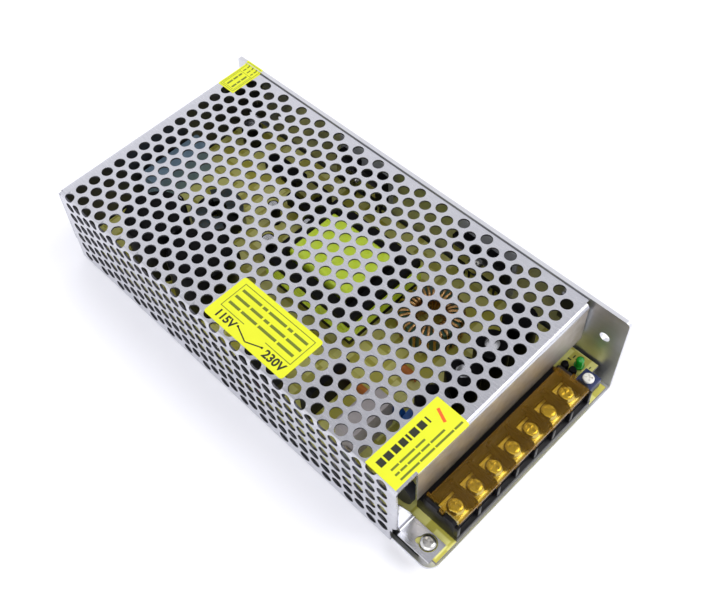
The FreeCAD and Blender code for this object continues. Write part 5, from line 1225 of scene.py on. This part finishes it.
@dataclass
class LugScrews:
    """The two countersunk screws through the wall into the lugs of the cover.

    The recess is its reach, half its width and its depth.
    """

    face: float = 49.5
    places: tuple[tuple[float, float], ...] = ((-78.0, 29.5), (88.0, 25.5))
    radius: float = 1.5
    head_radius: float = 2.75
    length: float = 4.0
    sink: float = 1.25
    recess: tuple[float, float, float] = (1.6, 0.35, 0.7)

    def build(self) -> None:
        """Builds both screws, their heads flush with the wall."""
        arm, half, depth = self.recess
        screws = Sculpt()
        for along, up in self.places:
            blank = Sculpt()
            blank.turned([(0.0, -self.length), (self.radius, -self.length), (self.radius, -self.sink),
                          (self.head_radius, 0.0), (0.0, 0.0)], (self.face, along, up), Axis.X, 28)
            tool = Sculpt()
            tool.block((self.face - depth, along - arm, up - half), (self.face + 1, along + arm, up + half))
            tool.block((self.face - depth, along - half, up - arm), (self.face + 1 + OVERLAP, along + half, up + arm))
            screws.repeat(carve(blank, tool).mesh, [Matrix.Identity(4)])
        screws.finish("lug_screw_set", [ZINC_STEEL], Body.CASE, ["cover_screws"], "screw_steel")


@dataclass
class Board:
    """The circuit board with a few printed marks by the lamp, and the insulating film under it.

    Left of and before `film_corner` the film's rim stands in by `film_inset`, where the bare sheet shows.
    """

    top: float = 11.0
    mark_height: float = 0.03
    marks: tuple[Bar, ...] = (
        (43.4, -84.2, 44.9, -83.7), (43.4, -85.4, 44.3, -84.9), (41.9, -84.0, 42.5, -82.6),
        (40.0, -83.6, 41.0, -83.1), (38.4, -82.6, 39.2, -82.1), (43.6, -91.0, 44.6, -90.6))
    film_inset: tuple[float, float] = (1.0, 2.0)
    film_corner: tuple[float, float] = (-40.0, -90.0)

    def build(self, nodes: dict[str, bpy.types.Object]) -> None:
        """Dresses the board and the film, and prints the marks round the lamp.

        Args:
            nodes: the CAD nodes by name.
        """
        board = Sculpt.copy_of(nodes["pcb"])
        for face in board.mesh.faces:
            face.material_index = BoardFace.MASK if abs(face.normal.z) > 0.9 else BoardFace.EDGE
        board.finish("circuit_board", [BOARD_MASK, BOARD_EDGE], Body.CASE, ["pcb"], "board_laminate")
        film = Sculpt.copy_of(nodes["insulation_sheet"])
        for vert in film.mesh.verts:
            vert.co.x += self.film_inset[0] * (vert.co.x < self.film_corner[0])
            vert.co.y += self.film_inset[1] * (vert.co.y < self.film_corner[1])
        film.finish("insulation_film", [BLACK_FILM], Body.CASE, ["insulation_sheet"], "film_black")
        marks = Sculpt()
        for left, front, right, rear in self.marks:
            marks.block((left, front, self.top - OVERLAP), (right, rear, self.top + self.mark_height))
        marks.finish("board_marks", [PRINT_INK], Body.CASE, slot="board_laminate")


@dataclass
class FrontCorner:
    """The status lamp and the output trimmer in the open corner beside the terminal block.

    The trimmer's bore is its radius, its depth and the height of the cut. The rotor's recess is its reach,
    width and depth, and its stem is its radius and length.
    """

    lamp: tuple[float, float, float] = (40.9, -88.0, 13.0)
    lamp_radius: float = 1.5
    flange_radius: float = 1.9
    lamp_height: float = 5.3
    trimmer: tuple[float, float, float] = (37.2, -94.3, 11.0)
    trimmer_size: float = 6.5
    trimmer_height: float = 5.0
    trimmer_round: float = 0.3
    bore: tuple[float, float, float] = (1.26, 2.1, 4.0)
    rotor_radius: float = 2.1
    rotor_height: float = 1.0
    rotor_gap: float = 0.1
    rotor_turn: float = 0.6
    rotor_recess: tuple[float, float, float] = (1.5, 0.7, 0.6)
    stem: tuple[float, float] = (1.2, 2.0)

    def build(self) -> None:
        """Builds the lamp, the trimmer's housing and its rotor."""
        self.build_lamp()
        self.build_trimmer()
        self.build_rotor()

    def build_lamp(self) -> None:
        """Builds the domed lamp on its flange."""
        lamp = Sculpt()
        rim, flange = self.lamp_radius, self.flange_radius
        dome = [(rim * math.cos(math.radians(angle)), self.lamp_height - rim + rim * math.sin(math.radians(angle)))
                for angle in range(0, 90, 15)]
        foot = [(0.0, 0.0), (flange - 0.1, 0.0), (flange, 0.1), (flange, 0.9), (flange - 0.1, 1.0), (rim, 1.0)]
        lamp.turned(foot + dome + [(0.0, self.lamp_height)], self.lamp, steps=32)
        lamp.finish("status_lamp", [LAMP_EPOXY], Body.CASE, ["led_lens"], "lamp_green")

    def build_trimmer(self) -> None:
        """Builds the trimmer's housing with its bore."""
        half = self.trimmer_size / 2
        x, y, z = self.trimmer
        housing = Sculpt()
        housing.block((x - half, y - half, z), (x + half, y + half, z + self.trimmer_height), self.trimmer_round, 3)
        radius, depth, height = self.bore
        bore = Sculpt()
        bore.turned([(0.0, 0.0), (radius, 0.0), (radius, height), (0.0, height)],
                    (x, y, z + self.trimmer_height - depth), steps=20)
        housing = carve(housing, bore)
        housing.finish("trimmer_housing", [TRIMMER_PLASTIC], Body.CASE, ["trimmer_body"], "trimmer_blue")

    def build_rotor(self) -> None:
        """Builds the trimmer's cross-slotted disc and its stem."""
        x, y, z = self.trimmer
        radius, length = self.stem
        rotor = cross_head(self.rotor_radius, self.rotor_height, *self.rotor_recess)
        rotor.turned([(0.0, -length), (radius, -length), (radius, OVERLAP), (0.0, OVERLAP)], (0, 0, 0), steps=16)
        bmesh.ops.rotate(rotor.mesh, cent=(0, 0, 0), matrix=Matrix.Rotation(self.rotor_turn, 3, "Z"),
                         verts=rotor.mesh.verts)
        bmesh.ops.translate(rotor.mesh, vec=(x, y, z + self.trimmer_height + self.rotor_gap),
                            verts=rotor.mesh.verts)
        rotor.finish("trimmer_disc", [ROTOR_PLASTIC], Body.ROTOR, ["trimmer_rotor"], "rotor_white")


# Parts on the board


@dataclass
class Can:
    """One upright electrolytic capacitor: a sleeve rolled over the shoulder, and a top that may be bare metal."""

    x: float
    y: float
    radius: float
    height: float
    foot: float = 11.0
    bare_top: bool = True
    bare_share: float = 0.78
    waist_share: float = 0.06
    groove: float = 0.25
    shoulder: float = 0.8

    def add_to(self, sculpt: Sculpt) -> None:
        """Adds the can to a mesh.

        Args:
            sculpt: the mesh that takes it, with the slots of `CanFace`.
        """
        radius, height = self.radius, self.height
        lap = radius * self.bare_share
        steps = 40 if radius > 5 else 28
        waist = height * self.waist_share
        sculpt.turned([(0.0, 0.0), (radius - 0.3, 0.0), (radius, 0.3), (radius, waist),
                       (radius - self.groove, waist + 0.5), (radius, waist + 1.0), (radius, height - 1.0),
                       (radius - 0.25, height - 0.35), (radius - self.shoulder, height), (lap, height),
                       (lap - 0.05, height - 0.12)],
                      (self.x, self.y, self.foot), steps=steps)
        top = sculpt.turned([(lap - 0.05, height - 0.12), (lap * 0.5, height - 0.1), (0.0, height - 0.08)],
                            (self.x, self.y, self.foot), steps=steps)
        sculpt.paint(top, CanFace.METAL if self.bare_top else CanFace.SLEEVE)


@dataclass
class Cans:
    """All the electrolytic capacitors, a piece for each CAD node."""

    bulk: tuple[Can, ...] = (Can(-29.5, 60.5, 12.5, 26.5, bare_top=False),
                             Can(-29.5, 34.0, 12.5, 26.5, bare_top=False))
    output: tuple[Can, ...] = tuple(
        Can(-15.0 + 14.9 * index, -68.0, 6.25, 25.0, bare_top=index in (1, 2), bare_share=0.42) for index in range(4))
    small: tuple[Can, ...] = (Can(-13.2, 37.0, 2.5, 11.0), Can(13.0, 42.0, 2.5, 11.0), Can(-0.3, 30.5, 3.0, 11.0),
                              Can(16.0, 25.2, 2.5, 11.0), Can(36.3, 81.8, 4.0, 11.0), Can(-13.2, 73.0, 4.0, 11.0),
                              Can(36.9, -88.0, 1.5, 5.0, bare_top=False), Can(36.9, -84.6, 1.5, 5.0, bare_top=False))

    def build(self) -> None:
        """Builds the cans of each node."""
        plan = (
            ("bulk_can_rear", self.bulk[:1], "bulk_capacitor_rear"),
            ("bulk_can_front", self.bulk[1:], "bulk_capacitor_front"),
            ("output_cans", self.output, "output_capacitors"),
            ("small_cans", self.small, "small_capacitors"),
        )
        for name, cans, node in plan:
            sculpt = Sculpt()
            for can in cans:
                can.add_to(sculpt)
            bmesh.ops.remove_doubles(sculpt.mesh, verts=sculpt.mesh.verts, dist=1e-3)
            sculpt.finish(name, [CAN_SLEEVE, ALUMINIUM_FOIL_TOP], Body.CASE, [node], "can_sleeve")


@dataclass
class RingWinding:
    """The wire round the ring of the output choke, turn beside turn."""

    centre: tuple[float, float, float] = (17.5, -38.5, 17.45)
    ring_radius: float = 9.0
    half_width: float = 3.35
    half_height: float = 5.85
    wire_radius: float = 0.55
    turns: int = 30

    def build(self) -> None:
        """Builds every turn as a wire bent to a rounded rectangle round the ring's section."""
        turn = bmesh.new()
        path = self.ring_radius / 2
        bmesh.ops.create_circle(turn, segments=6, radius=self.wire_radius,
                                matrix=Matrix.Translation((path, 0, 0)))
        bmesh.ops.spin(turn, geom=turn.verts[:] + turn.edges[:], cent=(0, 0, 0), axis=(0, 1, 0), angle=math.tau,
                       steps=20, use_merge=True)
        for vert in turn.verts:
            angle = math.atan2(vert.co.z, vert.co.x)
            away = math.hypot(vert.co.x, vert.co.z) - path
            across = math.copysign(math.sqrt(abs(math.cos(angle))), math.cos(angle))
            up = math.copysign(math.sqrt(abs(math.sin(angle))), math.sin(angle))
            vert.co.x = self.ring_radius + across * self.half_width + away * math.cos(angle)
            vert.co.z = up * self.half_height + away * math.sin(angle)
        bmesh.ops.recalc_face_normals(turn, faces=turn.faces)
        winding = Sculpt()
        winding.repeat(turn, [
            Matrix.Translation(self.centre) @ Matrix.Rotation(math.tau * index / self.turns, 4, "Z")
            for index in range(self.turns)])
        winding.finish("ring_winding", [COPPER_WIRE], Body.CASE, ["toroid_winding"], "copper_wire", smooth=60)


# Stickers


@dataclass
class Sticker:
    """A vinyl sticker that lies on the cover and follows its bends, with bars and figures printed on it.

    Right of `ramp[0]` it climbs by `ramp[2]` until `ramp[1]`, from the cover onto the top of the wall. A
    capital is `cap_share` of the type's size, and its strokes are `pen` wider to each side.
    """

    name: str
    node: str
    low: tuple[float, float]
    high: tuple[float, float]
    turn: float = 0.0
    corner: float = 0.4
    thickness: float = 0.12
    cover_top: float = 41.2
    bend: float = 1.6
    left_fold: float = -47.9
    front_fold: float = -82.1
    ramp: tuple[float, float, float] = (47.4, 48.5, 0.82)
    bend_cuts: int = 5
    bend_step: float = 0.35
    gap: float = 0.01
    ink_thickness: float = 0.02
    cap_share: float = 0.7
    pen: float = 0.15

    def lay(self, sculpt: Sculpt, lift: float) -> None:
        """Turns a flat mesh in the sticker's own place and drapes it over the cover.

        Args:
            sculpt: the mesh, flat at height nought.
            lift: how far its lower side stays above the sheet.
        """
        mesh = sculpt.mesh
        middle = Vector(((self.low[0] + self.high[0]) / 2, (self.low[1] + self.high[1]) / 2, 0))
        bmesh.ops.rotate(mesh, cent=middle, matrix=Matrix.Rotation(math.radians(self.turn), 3, "Z"), verts=mesh.verts)
        for step in range(self.bend_cuts):
            shift = step * self.bend * self.bend_step
            for point, normal in (((self.left_fold - shift, 0, 0), (1, 0, 0)),
                                  ((0, self.front_fold - shift, 0), (0, 1, 0))):
                bmesh.ops.bisect_plane(mesh, geom=mesh.verts[:] + mesh.edges[:] + mesh.faces[:], dist=1e-5,
                                       plane_co=point, plane_no=normal)
        for edge in self.ramp[:2]:
            bmesh.ops.bisect_plane(mesh, geom=mesh.verts[:] + mesh.edges[:] + mesh.faces[:], dist=1e-5,
                                   plane_co=(edge, 0, 0), plane_no=(1, 0, 0))
        for vert in mesh.verts:
            reach = self.bend + lift + vert.co.z
            height = self.cover_top - self.bend + reach
            past = self.left_fold - vert.co.x
            ahead = self.front_fold - vert.co.y
            beyond = vert.co.x - self.ramp[0]
            if past > 0:
                angle = min(past / self.bend, math.pi / 2)
                vert.co.x = self.left_fold - reach * math.sin(angle)
                height = self.cover_top - self.bend + reach * math.cos(angle)
            elif beyond > 0:
                height += self.ramp[2] * min(1.0, beyond / (self.ramp[1] - self.ramp[0]))
            if ahead > 0:
                angle = min(ahead / self.bend, math.pi / 2)
                vert.co.y = self.front_fold - reach * math.sin(angle)
                height -= reach * (1 - math.cos(angle))
            vert.co.z = height

    def patch(self, low: Place, high: Place, thickness: float, corner: float = 0.0,
              turn: float = 0.0) -> bpy.types.Mesh:
        """Makes a flat patch.

        Args:
            low: its lower corner.
            high: its upper corner.
            thickness: its thickness.
            corner: radius of its corners.
            turn: its turn in degrees about its own middle.

        Returns:
            The patch as a closed mesh.
        """
        patch = bmesh.new()
        bmesh.ops.create_grid(patch, x_segments=1, y_segments=1, size=0.5)
        bmesh.ops.scale(patch, vec=(high[0] - low[0], high[1] - low[1], 1), verts=patch.verts)
        if corner:
            bmesh.ops.bevel(patch, geom=patch.verts[:], offset=corner, segments=4, profile=0.5, affect="VERTICES",
                            material=-1)
        bmesh.ops.rotate(patch, cent=(0, 0, 0), matrix=Matrix.Rotation(math.radians(turn), 3, "Z"), verts=patch.verts)
        made = bmesh.ops.extrude_face_region(patch, geom=patch.faces[:])["geom"]
        bmesh.ops.translate(patch, vec=(0, 0, thickness),
                            verts=[item for item in made if isinstance(item, bmesh.types.BMVert)])
        bmesh.ops.translate(patch, vec=((low[0] + high[0]) / 2, (low[1] + high[1]) / 2, 0), verts=patch.verts)
        bmesh.ops.recalc_face_normals(patch, faces=patch.faces)
        mesh = bpy.data.meshes.new("patch")
        patch.to_mesh(mesh)
        patch.free()
        return mesh

    def build(self) -> None:
        """Builds the sticker itself."""
        sculpt = Sculpt()
        plan = self.patch(self.low, self.high, self.thickness, self.corner)
        sculpt.mesh.from_mesh(plan)
        bpy.data.meshes.remove(plan)
        self.lay(sculpt, self.gap)
        sculpt.finish(self.name, [STICKER_VINYL], Body.CASE, [self.node], "sticker_yellow", smooth=25)

    def bars(self, name: str, bars: Iterable[Bar], ink: Finish,
             turn: float = 0.0) -> None:
        """Prints plain bars.

        Args:
            name: the piece's name.
            bars: left, front, right and rear of each bar.
            ink: the ink's finish.
            turn: turn in degrees of each bar about its own middle.
        """
        sculpt = Sculpt()
        for left, front, right, rear in bars:
            plan = self.patch((left, front), (right, rear), self.ink_thickness, 0.0, turn)
            sculpt.mesh.from_mesh(plan)
            bpy.data.meshes.remove(plan)
        self.lay(sculpt, self.thickness + self.gap)
        sculpt.finish(name, [ink], Body.CASE, slot="sticker_yellow", smooth=25)

    def figures(self, name: str, words: Sequence[tuple[str, float, float, float, float]]) -> None:
        """Prints figures such as a mains voltage.

        Args:
            name: the piece's name.
            words: the text, its left end, its baseline, its height and its turn in degrees, for each.
        """
        sculpt = Sculpt()
        for text, across, along, height, turn in words:
            curve = bpy.data.curves.new("figures", "FONT")
            curve.body = text
            curve.size = height / self.cap_share
            curve.extrude = self.ink_thickness / 2
            curve.offset = self.pen
            curve.resolution_u = 3
            item = bpy.data.objects.new("figures", curve)
            bpy.context.scene.collection.objects.link(item)
            bpy.context.view_layer.update()
            plan = bpy.data.meshes.new_from_object(item)
            plan.transform(Matrix.Translation((across, along, self.ink_thickness / 2))
                           @ Matrix.Rotation(math.radians(turn), 4, "Z"))
            sculpt.mesh.from_mesh(plan)
            bpy.data.objects.remove(item)
            bpy.data.curves.remove(curve)
            bpy.data.meshes.remove(plan)
        self.lay(sculpt, self.thickness + self.gap)
        sculpt.finish(name, [PRINT_INK], Body.CASE, slot="sticker_yellow", smooth=20)


@dataclass(frozen=True)
class BarText:
    """A line of bars as long as words, for print that has no wording of its own."""

    start: float
    end: float
    level: float
    height: float
    words: tuple[float, ...]
    gap: float = 0.5
    upright: bool = False

    def bars(self) -> list[Bar]:
        """Gives the bars, which run along X, or along Y when upright."""
        way = 1.0 if self.end > self.start else -1.0
        unit = (abs(self.end - self.start) - self.gap * (len(self.words) - 1)) / sum(self.words)
        low, high = self.level - self.height / 2, self.level + self.height / 2
        place, made = self.start, []
        for word in self.words:
            near, far = sorted((place, place + way * word * unit))
            made.append((low, near, high, far) if self.upright else (near, low, far, high))
            place += way * (word * unit + self.gap)
        return made


def frame_bars(low: Place, high: Place, line: float) -> list[Bar]:
    """Gives the four lines of a printed frame.

    Args:
        low: its lower corner.
        high: its upper corner.
        line: width of the line.

    Returns:
        Left, front, right and rear of each line.
    """
    return [(low[0], low[1], high[0], low[1] + line), (low[0], high[1] - line, high[0], high[1]),
            (low[0], low[1] + line, low[0] + line, high[1] - line),
            (high[0] - line, low[1] + line, high[0], high[1] - line)]


@dataclass
class FrontLabel(Sticker):
    """The front sticker: a heading of bars, three lines and a plain slanted mark."""

    name: str = "front_label"
    node: str = "front_sticker"
    low: tuple[float, float] = (-48.4, -83.9)
    high: tuple[float, float] = (-15.6, -69.7)
    turn: float = -1.0
    heading: BarText = BarText(-46.2, -25.4, -73.4, 2.7, (3, 3.2, 3, 3, 1, 3.4, 3.2), 0.75)
    stroke: Bar = (-24.2, -74.7, -23.6, -72.0)
    lines: tuple[BarText, ...] = (BarText(-44.7, -29.6, -77.4, 0.75, (4, 8, 5)),
                                  BarText(-45.0, -22.8, -79.5, 0.75, (2, 3, 6, 4, 7)),
                                  BarText(-44.8, -16.8, -81.6, 0.75, (9, 7, 9, 4)))
    mark: Bar = (-20.3, -78.0, -19.2, -72.6)
    mark_turn: float = -22.0

    def build(self) -> None:
        """Builds the sticker and its print."""
        super().build()
        self.bars("front_label_heading", self.heading.bars() + [self.stroke], PRINT_INK)
        self.bars("front_label_lines", [bar for line in self.lines for bar in line.bars()], FINE_INK)
        self.bars("front_label_mark", [self.mark], MARK_INK, self.mark_turn)


@dataclass
class SelectorLabel(Sticker):
    """The sticker by the voltage selector: the two voltages, a bracket between them and framed lines."""

    name: str = "selector_label"
    node: str = "selector_sticker"
    low: tuple[float, float] = (-46.4, -29.2)
    high: tuple[float, float] = (-26.5, 10.8)
    corner: float = 1.2
    voltages: tuple[tuple[str, float, float, float, float], ...] = (
        ("115V", -44.6, 7.3, 3.1, -90), ("230V", -44.7, -17.3, 3.2, -90))
    bracket_rear: Bar = (-43.85, -9.5, -43.35, -2.8)
    bracket_front: Bar = (-43.95, -15.7, -43.45, -9.1)
    bracket_turn: float = 22.0
    dots: tuple[Bar, ...] = (
        (-42.7, -3.4, -41.9, -2.6), (-42.9, -15.9, -42.1, -15.1))
    lines: tuple[BarText, ...] = (BarText(7.0, -25.8, -31.0, 1.15, (9, 2, 8, 2, 6), 0.9, True),
                                  BarText(7.2, -26.0, -34.3, 1.15, (6, 5, 2, 6, 6), 0.9, True),
                                  BarText(7.0, -25.6, -37.5, 1.15, (5, 7, 8, 7), 0.9, True))
    frame: tuple[Bar, ...] = (
        (-40.5, 8.0, -28.4, 8.3), (-40.5, -27.3, -28.4, -27.0), (-28.7, -27.0, -28.4, 8.0), (-40.5, -4.0, -40.2, 8.0),
        (-40.5, -27.0, -40.2, -14.8))

    def build(self) -> None:
        """Builds the sticker and its print."""
        super().build()
        self.figures("selector_label_figures", self.voltages)
        self.bars("selector_label_bracket_rear", [self.bracket_rear], PRINT_INK, -self.bracket_turn)
        self.bars("selector_label_bracket_front", [self.bracket_front], PRINT_INK, self.bracket_turn)
        self.bars("selector_label_dots", self.dots, PRINT_INK)
        self.bars("selector_label_lines", [bar for line in self.lines for bar in line.bars()], FINE_INK)
        self.bars("selector_label_frame", self.frame, FINE_INK)


@dataclass
class InspectionLabel(Sticker):
    """The inspection sticker with two frames, which runs from the cover onto the top of the wall."""

    name: str = "inspection_label"
    node: str = "inspection_sticker"
    low: tuple[float, float] = (32.4, 85.0)
    high: tuple[float, float] = (49.5, 94.3)
    outer_frame: tuple[Place, Place, float] = ((33.1, 85.7), (48.9, 93.6), 0.22)
    inner_frame: tuple[Place, Place, float] = ((33.9, 86.4), (43.6, 92.9), 0.16)
    lines: tuple[BarText, ...] = (
        BarText(34.6, 42.8, 88.1, 0.9, (4, 3, 5)), BarText(34.6, 42.8, 91.0, 0.9, (5, 4, 3)),
        BarText(44.3, 48.2, 87.4, 0.6, (2, 3)), BarText(44.3, 48.2, 89.6, 0.6, (3, 2)),
        BarText(44.3, 48.2, 91.8, 0.6, (2, 2)))

    def build(self) -> None:
        """Builds the sticker and its print."""
        super().build()
        bars = frame_bars(*self.outer_frame) + frame_bars(*self.inner_frame)
        bars += [bar for line in self.lines for bar in line.bars()]
        self.bars("inspection_label_print", bars, FINE_INK)


# Studio


@dataclass(frozen=True)
class Softbox:
    """A square lamp that points at the object: its place and side in metres, and its power in watts."""

    name: str
    place: tuple[float, float, float]
    side: float
    power: float


@dataclass
class Studio:
    """The camera of the photograph, a pale floor and soft light.

    The camera's place is in millimetres. The sky goes from `sky_low` to `sky_high` over `sky_band`, which is the
    upward part of the direction.
    """

    camera_place: tuple[float, float, float] = (-141.8, -169.6, 326.3)
    forward: tuple[float, float, float] = (0.378, 0.475, -0.795)
    rightward: tuple[float, float, float] = (0.721, -0.690, -0.070)
    focal_pixels: float = 1001.1
    principal: tuple[float, float] = (306.2, 259.2)
    sensor: float = 36.0
    floor_half: float = 3.0
    sky_low: float = 1.26
    sky_high: float = 0.68
    sky_band: tuple[float, float] = (0.74, 0.88)
    sky_colour: str = "f2f2f7"
    lamps: tuple[Softbox, ...] = (Softbox("key_softbox", (0.57, -0.68, 1.2), 0.8, 8.0),
                                  Softbox("fill_softbox", (-1.2, -0.7, 0.9), 1.6, 9.0))

    def build(self) -> None:
        """Sets the whole stage."""
        scene = bpy.context.scene
        scene.view_settings.view_transform = "Standard"
        self.place_camera(scene)
        self.lay_floor(scene)
        self.light_sky(scene)
        for softbox in self.lamps:
            self.hang_lamp(scene, softbox)

    def place_camera(self, scene: bpy.types.Scene) -> None:
        """Places the camera as the photograph's hole grid gives it.

        Args:
            scene: the scene that takes it.
        """
        forward = Vector(self.forward).normalized()
        right = Vector(self.rightward)
        right = (right - forward * right.dot(forward)).normalized()
        up = right.cross(forward)
        lens = bpy.data.cameras.new("camera")
        lens.sensor_width = self.sensor
        lens.lens = self.focal_pixels / IMAGE[0] * self.sensor
        lens.shift_x = (IMAGE[0] / 2 - self.principal[0]) / IMAGE[0]
        lens.shift_y = (self.principal[1] - IMAGE[1] / 2) / IMAGE[0]
        lens.clip_start = 0.01
        camera = bpy.data.objects.new("camera", lens)
        turn = Matrix((right, up, -forward)).transposed().to_4x4()
        camera.matrix_world = Matrix.Translation(Vector(self.camera_place) * MM) @ turn
        scene.collection.objects.link(camera)
        scene.camera = camera

    def lay_floor(self, scene: bpy.types.Scene) -> None:
        """Lays the pale floor.

        Args:
            scene: the scene that takes it.
        """
        sheet = bmesh.new()
        bmesh.ops.create_grid(sheet, x_segments=4, y_segments=4, size=self.floor_half)
        mesh = bpy.data.meshes.new("floor")
        sheet.to_mesh(mesh)
        sheet.free()
        mesh.materials.append(FINISHES.get(FLOOR_PAPER))
        floor = bpy.data.objects.new("floor", mesh)
        scene.collection.objects.link(floor)

    def light_sky(self, scene: bpy.types.Scene) -> None:
        """Gives the room a pale light, white towards the horizon and dimmer overhead.

        Args:
            scene: the scene that takes it.
        """
        world = bpy.data.worlds.new("studio")
        world.use_nodes = True
        tree = world.node_tree
        way = add_node(tree, "ShaderNodeTexCoord").outputs["Generated"]
        height = add_node(tree, "ShaderNodeSeparateXYZ", links={0: way}).outputs["Z"]
        level = add_node(tree, "ShaderNodeMapRange", {
            "From Min": self.sky_band[0], "From Max": self.sky_band[1],
            "To Min": self.sky_low, "To Max": self.sky_high,
        }, {"Value": height})
        background = tree.nodes["Background"]
        background.inputs["Color"].default_value = linear(self.sky_colour)
        tree.links.new(level.outputs[0], background.inputs["Strength"])
        scene.world = world

    def hang_lamp(self, scene: bpy.types.Scene, softbox: Softbox) -> None:
        """Hangs one softbox and points it at the object.

        Args:
            scene: the scene that takes it.
            softbox: its name, place, side and power.
        """
        lamp = bpy.data.lights.new(softbox.name, "AREA")
        lamp.size = softbox.side
        lamp.energy = softbox.power
        item = bpy.data.objects.new(softbox.name, lamp)
        item.location = softbox.place
        item.rotation_euler = (-Vector(softbox.place)).to_track_quat("-Z", "Y").to_euler()
        scene.collection.objects.link(item)


def dress_nodes(nodes: dict[str, bpy.types.Object]) -> None:
    """Gives each CAD node that stays its finish.

    Args:
        nodes: the CAD nodes by name.
    """
    for name, finish in NODE_FINISHES.items():
        material = FINISHES.get(finish)
        slots = nodes[name].data.materials
        if not slots:
            slots.append(material)
        for index in range(len(slots)):
            slots[index] = material
        log.info("%s keeps its CAD shape with %s", name, finish.name)


def main() -> None:
    """Builds the power supply from the frame and sets the stage."""
    logging.basicConfig(level=logging.INFO, format="%(name)s: %(message)s")
    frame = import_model()
    Studio().build()
    nodes = frame["nodes"]
    MeshCover().build()
    Terminals().build(nodes)
    Board().build(nodes)
    BoardScrews().build()
    LugScrews().build()
    FrontCorner().build()
    Cans().build()
    RingWinding().build()
    FrontLabel().build()
    SelectorLabel().build()
    InspectionLabel().build()
    dress_nodes(nodes)


if __name__ == "__main__":
    main()
